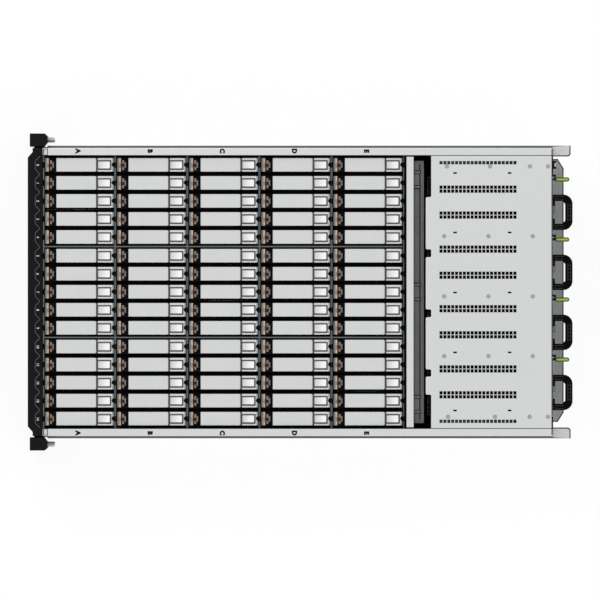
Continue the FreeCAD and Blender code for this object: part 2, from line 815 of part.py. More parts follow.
def iom_port_x(side, index):
    """Centre of a cable port on an expansion module."""
    x0, x1 = iom_span(side)
    return (x0 + x1) / 2 + (index - (ports_in_module - 1) / 2) * port_pitch + port_bank_offset


def iom_net_x(side):
    """Centre of the network port."""
    x0, x1 = iom_span(side)
    return (x0 + x1) / 2 + net_port_offset


def socket(x, z, width, tall, depth, wall):
    """A port shell behind the face plate, open to the rear."""
    shell = box(x - width / 2 - wall, x + width / 2 + wall, y_face - depth - wall, y_face,
                z - wall, z + tall + wall)
    return shell.cut(box(x - width / 2, x + width / 2, y_face - depth, y_face + 1, z, z + tall))


def iom_tray(side):
    """Expansion module: open tray with face plate, its board, ports and heat sink."""
    x0, x1 = iom_span(side)
    y0, z1 = y_face - psu_depth, z_iom + iom_height
    tray = box(x0, x1, y0, y_face, z_iom, z1).cut(
        box(x0 + sheet, x1 - sheet, y0 - 1, y_face - sheet, z_iom + sheet, z1 + 1))
    openings = [box(iom_port_x(side, n) - port_width / 2 - port_wall, iom_port_x(side, n) + port_width / 2
                    + port_wall, y_face - 2 * sheet, y_face + 1, z_port - port_wall,
                    z_port + port_height + port_wall) for n in range(ports_in_module)]
    nx, ns = iom_net_x(side), net_port_size / 2 + net_port_wall
    openings.append(box(nx - ns, nx + ns, y_face - 2 * sheet, y_face + 1, z_port - net_port_wall,
                        z_port + net_port_size + net_port_wall))
    board_z = z_iom + iom_board_rise
    board = box(x0 + iom_board_inset, x1 - iom_board_inset, y0 + iom_board_inset,
                y_face - iom_board_inset, board_z, board_z + board_thickness)
    f = iom_foot / 2
    feet = [box(x - f, x + f, y - f, y + f, z_iom + sheet / 2, board_z)
            for x in (x0 + iom_foot_inset, x1 - iom_foot_inset)
            for y in (y0 + iom_foot_inset, y_face - iom_foot_inset)]
    solids = [tray.cut(openings).fuse(feet).removeSplitter(), board]
    solids += [socket(iom_port_x(side, n), z_port, port_width, port_height, port_depth, port_wall)
               for n in range(ports_in_module)]
    solids.append(socket(nx, z_port, net_port_size, net_port_size, net_port_depth, net_port_wall))
    cx, cy, s = (x0 + x1) / 2, (y0 + y_face) / 2, sink_side / 2
    z_sink = board_z + board_thickness
    sink = box(cx - s, cx + s, cy - s, cy + s, z_sink, z_sink + sink_height)
    middles = [cx + (n - (sink_fins - 1) / 2) * fin_pitch for n in range(sink_fins)]
    grooves = [box(x - fin_groove / 2, x + fin_groove / 2, cy - s - 1, cy + s + 1, z_sink + sink_base, z1 + 1)
               for x in middles]
    solids.append(sink.cut(grooves))
    return solids


def iom_lever(side, end):
    """Ejector lever at one end of an expansion module's face; end is -1 at the left, 1 at the right."""
    x0, x1 = iom_span(side)
    root = x0 + lever_pin_inset if end < 0 else x1 - lever_pin_inset
    tip = root - end * lever_length
    y0 = y_face + lever_gap
    y1 = y0 + lever_thickness
    s = -end
    plan = [(root - s * lever_heel, y0), (tip, y0), (tip + s * 4, y1 + 2), (tip - s * 3, y1 + 1),
            (tip - s * 12, y1), (root - s * lever_heel, y1)]
    return [prism_z(plan, z_lever, z_lever + lever_height)]


# ---------------------------------------------------------------- build

def build():
    """Writes every node."""
    os.makedirs("parts", exist_ok=True)
    save("base_tray", [base_tray()])
    save("slide_members", [slide_member(-1), slide_member(1)])
    save("front_panel", [front_panel()])
    save("front_bezel", [bezel_shell(), bezel_grille()])
    save("left_ear", [ear(-1)])
    save("right_ear", [ear(1)])
    save("column_dividers", [column_divider(k) for k in range(1, columns + 1)])
    save("row_dividers", [row_divider(x, c) for c in range(columns) for x in group_edges()])
    save("disk_backplanes", backplanes())
    save("cross_beam", [cross_beam()])
    save("midplane_frame", [midplane_frame()])
    save("midplane_board", [midplane_board()])
    save("rear_cover", [rear_cover()])
    save("bay_shelves", bay_shelves())
    save("bay_walls", bay_walls())
    save("rear_fillers", rear_fillers())
    save("ear_screws", [ear_screw(side, z) for side in (-1, 1) for z in screw_levels()])
    save("rear_thumbscrew", [rear_thumbscrew()])

    taken = set(free_modules.values())
    fixed = [(c, r) for c in range(columns) for r in range(rows) if (c, r) not in taken]
    pieces = {"disk": disk, "disk_carrier": carrier, "carrier_handle": carrier_handle,
              "carrier_latch": carrier_latch}
    for name, make in pieces.items():
        plural = name + ("es" if name.endswith("latch") else "s")
        save(plural, [solid for c, r in fixed for solid in make(c, r)])
        for place, (c, r) in free_modules.items():
            save(f"{name}_{place}", make(c, r))

    for n in range(psu_count):
        save(f"psu_{n + 1}_case", [psu_case(n)])
        save(f"psu_{n + 1}_handle", psu_handle(n))
        save(f"psu_{n + 1}_latch", psu_latch(n))
        save(f"fan_{n + 1}_housing", [fan_housing(n)])
        save(f"fan_{n + 1}_rotor", [fan_rotor(n)])
    for side, letter in ((-1, "a"), (1, "b")):
        save(f"expander_{letter}_tray", iom_tray(side))
        save(f"expander_{letter}_lever_left", iom_lever(side, -1))
        save(f"expander_{letter}_lever_right", iom_lever(side, 1))


build()
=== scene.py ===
import bpy
import math
from mathutils import Matrix, Vector


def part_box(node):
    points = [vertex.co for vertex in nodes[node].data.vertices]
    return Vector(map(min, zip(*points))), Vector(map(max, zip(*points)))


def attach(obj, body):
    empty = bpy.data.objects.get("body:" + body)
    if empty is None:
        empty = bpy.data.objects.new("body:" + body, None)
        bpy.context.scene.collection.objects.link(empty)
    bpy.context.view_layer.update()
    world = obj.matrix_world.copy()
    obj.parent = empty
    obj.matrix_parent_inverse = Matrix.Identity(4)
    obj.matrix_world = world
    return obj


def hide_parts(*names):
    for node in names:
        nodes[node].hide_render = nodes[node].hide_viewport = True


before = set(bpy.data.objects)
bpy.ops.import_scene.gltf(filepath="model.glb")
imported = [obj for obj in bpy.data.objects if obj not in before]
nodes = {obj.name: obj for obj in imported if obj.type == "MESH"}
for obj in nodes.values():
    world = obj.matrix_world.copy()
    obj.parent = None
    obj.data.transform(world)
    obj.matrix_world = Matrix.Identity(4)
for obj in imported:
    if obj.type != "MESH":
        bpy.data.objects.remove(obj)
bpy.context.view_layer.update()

# ------------------------------------------------------------------ sizes, in millimetres

ROWS, COLUMNS = 15, 5
ROW_PITCH, GROUP_GAP, COLUMN_PITCH = 27.45, 1.05, 109.8
FREE = {"a2": (0, 2), "c7": (2, 7), "e12": (4, 12)}  # the modules that move, by column and row
FIXED = [(c, r) for c in range(COLUMNS) for r in range(ROWS) if (c, r) not in FREE.values()]


def mm(node):
    """Lowest and highest corners of a CAD node."""
    lo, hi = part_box(node)
    return [c * 1000 for c in lo], [c * 1000 for c in hi]


def group_x(group):
    """Middle of a group of five rows."""
    return (group - 1) * (5 * ROW_PITCH + GROUP_GAP)


def row_x(row):
    return group_x(row // 5) + (row % 5 - 2) * ROW_PITCH


def place(column, row):
    """Offset of a disk module from module a2, whose sizes are read below."""
    return (row_x(row) - row_x(2), column * COLUMN_PITCH, 0.0)


bezel_lo, bezel_hi = mm("front_bezel")
Y_FRONT, Y_PANEL, TOP = bezel_lo[1], bezel_hi[1], bezel_hi[2]
Y_CELLS = Y_PANEL + 0.6
carrier_lo, carrier_hi = mm("disk_carrier_a2")
handle_lo, handle_hi = mm("carrier_handle_a2")
button_lo, button_hi = mm("carrier_latch_a2")
disk_lo, disk_hi = mm("disk_a2")
cover_lo, cover_hi = mm("rear_cover")


# ------------------------------------------------------------------ materials

class Nodes:
    """A material's node tree, built by short calls."""

    def __init__(self, name=None, mat=None):
        self.mat = mat or bpy.data.materials.new(name)
        self.mat.use_nodes = True
        self.tree = self.mat.node_tree
        self.shader = self.tree.nodes["Principled BSDF"]
        self.coord = self.node("ShaderNodeTexCoord").outputs["Object"]

    def node(self, kind, **values):
        """A new node; each keyword names one of its properties or inputs."""
        n = self.tree.nodes.new(kind)
        for key, value in values.items():
            if hasattr(n, key):
                setattr(n, key, value)
            else:
                self.put(value, n.inputs[key.replace("_", " ")])
        return n

    def put(self, value, socket):
        """Links an input to an output, or sets it to a number, a vector or a colour."""
        if isinstance(value, bpy.types.NodeSocket):
            self.tree.links.new(value, socket)
        else:
            socket.default_value = (*value, 1.0) if socket.type == "RGBA" else value

    def noise(self, scale, detail=3.0, rough=0.5, stretch=None):
        where = self.coord
        if stretch:
            where = self.node("ShaderNodeMapping", Scale=stretch, Vector=where).outputs[0]
        return self.node("ShaderNodeTexNoise", Scale=scale, Detail=detail, Roughness=rough,
                         Vector=where).outputs[0]

    def ranged(self, value, low, high, from_low=0.3, from_high=0.7):
        return self.node("ShaderNodeMapRange", Value=value, From_Min=from_low, From_Max=from_high,
                         To_Min=low, To_Max=high).outputs[0]

    def math(self, operation, *values):
        n = self.node("ShaderNodeMath", operation=operation)
        for socket, value in zip(n.inputs, values):
            self.put(value, socket)
        return n.outputs[0]

    def mix(self, factor, a, b):
        n = self.node("ShaderNodeMix", data_type="RGBA")
        for number, value in ((0, factor), (6, a), (7, b)):
            self.put(value, n.inputs[number])
        return n.outputs[2]

    def tinted(self, value, colour, dark, light, low=0.3, high=0.7):
        """The colour times dark to the colour times light, as the value goes from low to high."""
        return self.mix(self.ranged(value, 0, 1, low, high), shade(colour, dark), shade(colour, light))

    def bump(self, height, strength, distance):
        n = self.node("ShaderNodeBump", Strength=strength, Distance=distance, Height=height)
        self.put(n.outputs[0], self.shader.inputs["Normal"])

    def look(self, colour, rough, **inputs):
        """Gives the shader its colour, its roughness and any other inputs."""
        for key, value in {"Base Color": colour, "Roughness": rough, **inputs}.items():
            self.put(value, self.shader.inputs[key.replace("_", " ")])
        return self.mat


def shade(colour, factor):
    return tuple(min(1.0, c * factor) for c in colour)


def grey(value):
    return (value, value, value)


def plastic(name, colour, rough=0.45, vary=0.06, bump=0.25, specular=0.5):
    """Moulded plastic: fine eroded grain, slight cloudiness, uneven gloss."""
    n = Nodes(name)
    n.bump(n.noise(1800, 2), bump, 0.00008)
    return n.look(n.tinted(n.noise(35, 4), colour, 1 - vary, 1 + vary),
                  n.ranged(n.noise(90), rough - 0.06, rough + 0.08), Specular_IOR_Level=specular)


def sheet(name, colour, metal=0.75, rough=0.42, spangle=0.035):
    """Zinc-coated sheet: faint spangle, fine rolling marks along its length, uneven gloss."""
    n = Nodes(name)
    cells = n.node("ShaderNodeTexVoronoi", Scale=160.0, Vector=n.coord)
    flakes = n.node("ShaderNodeSeparateColor", Color=cells.outputs["Color"]).outputs[0]
    lines = n.noise(900, 2, 0.5, (1.0, 0.04, 1.0))
    tone = n.math("ADD", n.math("MULTIPLY", flakes, 0.5), n.math("MULTIPLY", n.noise(14, 4), 0.5))
    tone = n.math("ADD", n.math("MULTIPLY", tone, 0.75), n.math("MULTIPLY", lines, 0.25))
    n.bump(lines, 0.08, 0.00004)
    return n.look(n.tinted(tone, colour, 1 - spangle, 1 + spangle, 0.25, 0.75),
                  n.ranged(tone, rough + 0.06, rough - 0.06, 0.25, 0.75), Metallic=metal)


def zinc(name, colour):
    """Smoother sheet with a fainter spangle, as on all the bright parts."""
    return sheet(name, colour, metal=0.7, spangle=0.018)


def painted(name, colour, metal=0.35):
    return sheet(name, colour, metal, rough=0.45)


def zoned(mat, axis, low, high, colour, period=None):
    """Paints shade into a material's colour below a height, or along another axis; above it when low exceeds
    high.
    """
    n = Nodes(mat=mat)
    kept = n.shader.inputs["Base Color"].links[0].from_socket
    where = n.node("ShaderNodeSeparateXYZ", Vector=n.coord).outputs[axis]
    if period:
        where = n.math("WRAP", where, (low + period - 1) / 1000, (low - 1) / 1000)
    n.put(n.mix(n.ranged(where, 0, 1, low / 1000, high / 1000), colour, kept), n.shader.inputs["Base Color"])
    return mat


def machined(name, colour, rough=0.3):
    """Turned or ground bright metal."""
    n = Nodes(name)
    lines = n.noise(1500, 2, 0.5, (1.0, 0.05, 1.0))
    n.bump(lines, 0.12, 0.00003)
    return n.look(n.tinted(lines, colour, 0.9, 1.08), n.ranged(n.noise(60), rough - 0.05, rough + 0.08),
                  Metallic=1.0)


def cast(name, colour):
    """Die-cast metal: pebbled skin and soft blotches."""
    n = Nodes(name)
    n.bump(n.noise(1400), 0.35, 0.00008)
    return n.look(n.tinted(n.noise(45, 4), colour, 0.88, 1.1), n.ranged(n.noise(120), 0.44, 0.6),
                  Metallic=0.6)


def solder_mask(name, colour):
    """Printed circuit: dark mask with lighter traces."""
    n = Nodes(name)
    bricks = n.node("ShaderNodeTexBrick", Scale=70.0, Mortar_Size=0.045, Vector=n.coord)
    traces = n.ranged(bricks.outputs["Fac"], 0, 1, 0.2, 0.8)
    n.bump(traces, 0.2, 0.00005)
    return n.look(n.mix(traces, shade(colour, 0.75), shade(colour, 1.9)), n.ranged(n.noise(80), 0.28, 0.42))


def label_strip(name, colour, ink):
    """Generic print on a carrier's front end: pale ground with fine dark marks across it."""
    n = Nodes(name)
    marks = n.noise(1.0, 2, 0.6, (1500, 420, 1))
    broad = n.noise(1.0, 2, 0.5, (160, 700, 1))
    mask = n.math("MULTIPLY", n.ranged(marks, 0, 1, 0.5, 0.62), n.ranged(broad, 0.1, 0.75, 0.42, 0.58))
    n.bump(marks, 0.1, 0.00004)
    return n.look(n.mix(mask, colour, ink), n.ranged(n.noise(150, 2), 0.4, 0.55))


# the second colour is the zinc of the low rear lip, darkened as painted shade; the third is painted shade for
# deep gaps
ZINC, LIP_SHADE_GREY, SHADOW = (0.755, 0.77, 0.76), (0.385, 0.39, 0.395), grey(0.003)
BEAM_FRONT, BEAM_BRIGHT = mm("cross_beam")[0][1], 205.7  # the beam is bright as far out as this, with painted shadow on its ends beyond
NOTCH_Z0, NOTCH_Z1 = 166.8, 167.5  # the dividers are in shadow below this band
LIP_START = cover_hi[1] + 1.5  # the tray turns to the lip's painted-shade grey here, behind the cover, and the slides change colour here
GALV = zinc("galvanised", ZINC)
GALV_TAB = sheet("galvanised_tab", (0.66, 0.665, 0.665), rough=0.5, spangle=0.02)
# the tray's inside walls near black: painted shade
INNER_WALL_SHADE = plastic("tray_inner_shade", grey(0.012), rough=0.65, vary=0.1, specular=0.1)
# the beam's front edge in painted shade, and its ends beyond BEAM_BRIGHT in painted shadow
BEAM = zoned(zinc("galvanised_beam_shaded", ZINC), "Y", BEAM_FRONT + 1.0, BEAM_FRONT + 1.1, grey(0.012))
for side in (-1, 1):
    zoned(BEAM, "X", side * (BEAM_BRIGHT + 0.1), side * BEAM_BRIGHT, SHADOW)
SHELF = sheet("shelf_sheet", (0.36, 0.365, 0.365), rough=0.5)
RAIL = painted("rail_grey", (0.135, 0.145, 0.14), 0.4)
# the levers and the tray behind the cover take the lip's painted-shade grey; inside the tray the floor is in
# painted shade
LEVER = zinc("lever_zinc", LIP_SHADE_GREY)
TRAY = zoned(zinc("tray_sheet", ZINC), "Y", LIP_START + 0.1, LIP_START, LIP_SHADE_GREY)
TRAY_FLOOR = zoned(zinc("tray_floor", LIP_SHADE_GREY), "Y", LIP_START, LIP_START + 0.1, SHADOW)
DIVIDER = zoned(painted("divider_grey", (0.10, 0.108, 0.11)), "Z", NOTCH_Z0, NOTCH_Z1, SHADOW)
GROUP_WALL = zoned(painted("group_wall_grey", (0.145, 0.156, 0.16)), "Z", NOTCH_Z0, NOTCH_Z1, SHADOW)
# the front panel near black: painted shade, as it lies in the slot under the bezel
PANEL_SHADE = plastic("front_panel_shade", grey(0.008), rough=0.6, vary=0.1, specular=0.1)
# the front panel's top edge in a lighter grey than the panel: painted light on its lit top
PANEL_LIT_RIM = painted("front_panel_lit_rim", (0.235, 0.24, 0.24))
FILLER = zoned(zinc("filler_sheet", ZINC), "Z", 172.4, 172.3, SHADOW)
FRAME_GREY = sheet("frame_grey", (0.205, 0.208, 0.207), metal=0.3, rough=0.48)
BLACK = plastic("black_moulding", (0.0055, 0.0055, 0.0058), rough=0.5, vary=0.12, specular=0.1)
# painted shade: near black where only shade shows, in pockets, notches, slots, gaps and under holes
RECESS_SHADE = plastic("painted_recess_shade", (0.002, 0.002, 0.0022), rough=0.7, specular=0.05)
CHARCOAL = plastic("charcoal_sheet", (0.014, 0.014, 0.0145), rough=0.6, specular=0.15)
# painted shadow for the seam lines; also the grey of the grip ribs on the power-supply handles
OUTLINE = plastic("seam_shadow_and_rib_grey", (0.045, 0.046, 0.046), rough=0.6, specular=0.1)
HANDLE_BLACK = plastic("handle_black", (0.002, 0.002, 0.0022), rough=0.5, vary=0.12, specular=0.04)
PANEL = plastic("handle_grey", (0.68, 0.695, 0.685), rough=0.42, vary=0.02, bump=0.15)
SURROUND = plastic("latch_surround", (0.72, 0.73, 0.725), vary=0.03, bump=0.15)
# the rear strip of the button's frame, darker: painted shade
SURROUND_REAR_SHADE = plastic("latch_surround_rear_shade", (0.34, 0.35, 0.35), rough=0.5, vary=0.03, bump=0.15)
# dark grey for the gap round the catch button and the handle's step: painted shade
GAP_SHADE = plastic("latch_gap_shade", grey(0.078), rough=0.55, bump=0.05)
# the button white, greyer towards its front in every column: painted shade
SHADED_BUTTON = zoned(plastic("button_white", (0.96, 0.96, 0.955), rough=0.35, vary=0.015, bump=0.1),
               "Y", button_lo[1] + 1.0, button_lo[1] + 13.0, grey(0.66), COLUMN_PITCH)
STRIP = label_strip("end_strip", (0.56, 0.46, 0.36), (0.10, 0.07, 0.045))
STRIP_PALE = label_strip("end_strip_pale", (0.255, 0.25, 0.237), (0.08, 0.07, 0.06))
STRIP_MIDDLE = label_strip("end_strip_middle", (0.285, 0.225, 0.175), (0.10, 0.075, 0.055))
# the darker front band of the end strip: painted shade
STRIP_SHADE = label_strip("end_strip_front_shade", (0.165, 0.156, 0.148), (0.05, 0.042, 0.035))
AMBER = plastic("amber_guide", (0.036, 0.0085, 0.0003), rough=0.4, vary=0.1, bump=0.05, specular=0.1)
PRINT_TAN = plastic("print_tan", (0.32, 0.25, 0.19), rough=0.55, bump=0.05)
PRINT_MID = plastic("print_mid", (0.21, 0.205, 0.20), rough=0.55, bump=0.05)
# grey print, also used as painted shade for a seam line and the rings round the rivets
PRINT_AND_SHADE_GREY = plastic("print_and_shade_grey", grey(0.105), rough=0.55, bump=0.05)
# white print, also used as a painted highlight on the thumbscrew's head
PRINT_AND_GLINT_WHITE = plastic("print_and_glint_white", grey(0.75), rough=0.5, bump=0.05)
# black print, also used as painted shadow round the midplane frame's pads
PRINT_AND_SHADE_BLACK = plastic("print_and_shade_black", grey(0.006), rough=0.5, bump=0.05, specular=0.1)
RIVET = sheet("rivet_grey", (0.42, 0.425, 0.425), rough=0.45)
STEEL = machined("bright_steel", (0.62, 0.62, 0.63))
PIN = sheet("screw_zinc", (0.66, 0.66, 0.665), metal=0.35, rough=0.4)
GOLD = machined("contact_gold", (0.75, 0.52, 0.20), rough=0.25)
GREEN = plastic("latch_green", (0.36, 0.56, 0.055), rough=0.32, vary=0.08, bump=0.08)
GREEN_RIM = plastic("latch_green_rim", (0.04, 0.08, 0.008), rough=0.4, vary=0.08, bump=0.08)
CASTING = cast("disk_casting", (0.30, 0.30, 0.31))
LID = sheet("disk_lid", (0.48, 0.49, 0.50), rough=0.35)
BOARD = solder_mask("solder_mask", (0.012, 0.055, 0.03))
# the midplane board near black: painted shade, as it lies deep in a dark gap
BOARD_SHADE = solder_mask("midplane_mask_shade", (0.006, 0.010, 0.008))
LENS = plastic("lamp_lens", (0.10, 0.45, 0.12), rough=0.2, bump=0.0)


# ------------------------------------------------------------------ mesh building, in millimetres

TURN = {"x": lambda a, b, h: (h, a, b), "y": lambda a, b, h: (b, h, a), "z": lambda a, b, h: (a, b, h)}


def arc(a, b, r, start, turn, steps):
    """Points along an arc, both ends included; the angles are in degrees."""
    turns = [math.radians(start + turn * i / steps) for i in range(steps + 1)]
    return [(a + r * math.cos(t), b + r * math.sin(t)) for t in turns]


def circle(a, b, r, sides):
    return arc(a, b, r, 0, 360, sides)[:-1]


def between(first, second, n):
    """Faces between two closed rings of n vertices, from the numbers of their first vertices."""
    return [(first + i, first + (i + 1) % n, second + (i + 1) % n, second + i) for i in range(n)]


class Shape:
    """Collects solids, each with its material, into one mesh."""

    def __init__(self):
        self.v, self.f, self.m, self.mats = [], [], [], []

    def add(self, verts, faces, mat):
        if mat not in self.mats:
            self.mats.append(mat)
        base = len(self.v)
        self.v += [tuple(p) for p in verts]
        self.f += [tuple(base + i for i in f) for f in faces]
        self.m += [self.mats.index(mat)] * len(faces)

    def box(self, lo, hi, mat, c=0.25):
        """A box with chamfered edges; each of its corners k has three vertices, 3k to 3k + 2."""
        c = min([c] + [(hi[i] - lo[i]) * 0.45 for i in range(3)])
        sides = [(k & 1, k >> 1 & 1, k >> 2) for k in range(8)]
        verts = [[(lo, hi)[side[i]][i] + (0 if i == axis else c * (1 - 2 * side[i])) for i in range(3)]
                 for side in sides for axis in range(3)]
        faces = []
        for axis in range(3):
            a, b = [i for i in range(3) if i != axis]

            def at(s, sa, sb, number):
                return 3 * (s << axis | sa << a | sb << b) + number

            for s in (0, 1):
                ring = [at(s, sa, sb, axis) for sa, sb in ((0, 0), (1, 0), (1, 1), (0, 1))]
                faces.append(ring if (s == 1) == (axis != 1) else ring[::-1])
            for sa, sb in ((0, 0), (0, 1), (1, 0), (1, 1)):
                quad = [at(0, sa, sb, a), at(0, sa, sb, b), at(1, sa, sb, b), at(1, sa, sb, a)]
                faces.append(quad if (sa == sb) == (axis != 1) else quad[::-1])
        for k, side in enumerate(sides):
            tri = [3 * k, 3 * k + 1, 3 * k + 2]
            faces.append(tri if sum(side) % 2 else tri[::-1])
        self.add(verts, faces, mat)

    def bar(self, x, half, ys, zs, mat, c=0.25):
        """A box that reaches as far to the left of x as to the right."""
        self.box((x - half, ys[0], zs[0]), (x + half, ys[1], zs[1]), mat, c)

    def rings(self, verts, n, mat, capped=True):
        """Rings of n vertices joined in turn; the first and last are closed, or joined to each other."""
        last = len(verts) - n
        faces = [tuple(range(n))[::-1], tuple(range(last, last + n))] if capped else between(last, 0, n)
        for k in range(0, last, n):
            faces += between(k, k + n, n)
        self.add(verts, faces, mat)

    def prism(self, points, z0, z1, mat, axis="z", c=0.0):
        """A convex or plain outline raised along an axis, with an optional chamfer on its far end."""
        area = sum(p[0] * q[1] - q[0] * p[1] for p, q in zip(points, points[1:] + points[:1]))
        points = points if area > 0 else points[::-1]
        ends = [(points, z1 - c), (inset(points, c), z1)] if c else [(points, z1)]
        verts = [TURN[axis](a, b, h) for ring, h in [(points, z0)] + ends for a, b in ring]
        self.rings(verts, len(points), mat)

    def disc(self, centre, radius, z0, z1, mat, axis="z", sides=24, c=0.0):
        self.prism(circle(*centre, radius, sides), z0, z1, mat, axis, c)

    def tube(self, centre, outer, inner, z0, z1, mat, axis="z", sides=32):
        """A ring with a hole through it."""
        verts = [TURN[axis](a, b, h) for r, h in ((outer, z0), (outer, z1), (inner, z1), (inner, z0))
                 for a, b in circle(*centre, r, sides)]
        self.rings(verts, sides, mat, capped=False)

    def turned(self, x, z, profile, mat, sides=28):
        """A solid of revolution about an axis along Y, from (y, radius) stations, the first in front."""
        verts = [(a, y, b) for y, r in reversed(profile) for a, b in circle(x, z, r, sides)]
        self.rings(verts, sides, mat)

    def stamped(self, offsets):
        """Copies of the whole shape at several offsets."""
        out = Shape()
        out.mats = list(self.mats)
        for n, (dx, dy, dz) in enumerate(offsets):
            out.v += [(x + dx, y + dy, z + dz) for x, y, z in self.v]
            out.f += [tuple(i + n * len(self.v) for i in f) for f in self.f]
            out.m += self.m
        return out

    def piece(self, name, body, replaces=(), slot=None, smooth=None):
        """Makes the shape an object that rides on a body."""
        mesh = bpy.data.meshes.new(name)
        mesh.from_pydata([(x / 1000, y / 1000, z / 1000) for x, y, z in self.v], [], self.f)
        for mat in self.mats:
            mesh.materials.append(mat)
        mesh.polygons.foreach_set("material_index", self.m)
        mesh.update()
        if smooth:
            mesh.polygons.foreach_set("use_smooth", [True] * len(mesh.polygons))
            mesh.set_sharp_from_angle(angle=math.radians(smooth))
        seated(mesh, name, body, replaces)


def inset(points, c):
    """A counter-clockwise outline moved inwards by c."""
    out, n = [], len(points)
    for i in range(n):
        p, q, r = Vector(points[i - 1]), Vector(points[i]), Vector(points[(i + 1) % n])
        d1, d2 = (q - p).normalized(), (r - q).normalized()
        bis = Vector((-d1.y, d1.x)) + Vector((-d2.y, d2.x))
        out.append(tuple(q + bis * (c / max(0.3, 0.5 * bis.length_squared))))
    return out


def rounded(x0, x1, y0, y1, r, steps=6):
    """A rectangle's outline with round corners."""
    return [p for cx, cy, start in ((x0 + r, y0 + r, 180), (x1 - r, y0 + r, 270), (x1 - r, y1 - r, 0),
                                    (x0 + r, y1 - r, 90)) for p in arc(cx, cy, r, start, 90, steps)]


def linked(name, data):
    """A new object in the scene."""
    obj = bpy.data.objects.new(name, data)
    bpy.context.scene.collection.objects.link(obj)
    return obj


def seated(mesh, name, body, replaces=()):
    """Makes the mesh an object that rides on a body."""
    obj = linked(name, mesh)
    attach(obj, body)
    if replaces:
        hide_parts(*replaces)
    return obj


def soften(obj, bevel):
    """Rounds an object's sharp edges a little."""
    mod = obj.modifiers.new("edges", "BEVEL")
    mod.width, mod.segments = bevel / 1000, 2
    mod.limit_method, mod.angle_limit = "ANGLE", math.radians(40)


def dress(node, mat, bevel):
    """Gives a CAD node its material and a small edge radius."""
    obj = nodes[node]
    obj.data.materials.clear()
    obj.data.materials.append(mat)
    soften(obj, bevel)


def redone(node, name, mats, bevel, choose=None, drop=0.0, body="chassis"):
    """A copy of a CAD node with materials by face; its topmost faces can sit lower, for print to lie on."""
    mesh = nodes[node].data.copy()
    mesh.name = name
    mesh.materials.clear()
    for mat in mats:
        mesh.materials.append(mat)
    for v in mesh.vertices:
        if v.co.z > (TOP - 0.1) / 1000:
            v.co.z -= drop / 1000
    if choose:
        for p in mesh.polygons:
            p.material_index = choose(p.center * 1000, p.normal)
    soften(seated(mesh, name, body, (node,)), bevel)


def lettering(text, x, y, size, bold):
    """Printed characters, centred on a point; their top points to the rear."""
    curve = bpy.data.curves.new("glyph", "FONT")
    curve.body, curve.size = text, size / 1000
    curve.align_x, curve.align_y = "CENTER", "CENTER"
    curve.extrude, curve.offset, curve.resolution_u = (PRINT1 - PRINT0) / 2000, bold / 1000, 3
    obj = linked("glyph", curve)
    bpy.context.view_layer.update()
    mesh = bpy.data.meshes.new_from_object(obj.evaluated_get(bpy.context.evaluated_depsgraph_get()))
    bpy.data.objects.remove(obj)
    at = Matrix.Translation((x / 1000, y / 1000, (PRINT0 + PRINT1) / 2000))
    return [(at @ v.co) * 1000 for v in mesh.vertices], [tuple(p.vertices) for p in mesh.polygons]


# ------------------------------------------------------------------ disk modules

MX = row_x(2)
HEAD_TRIM = 0.7  # a carrier's head stops this much short of its rails on the right


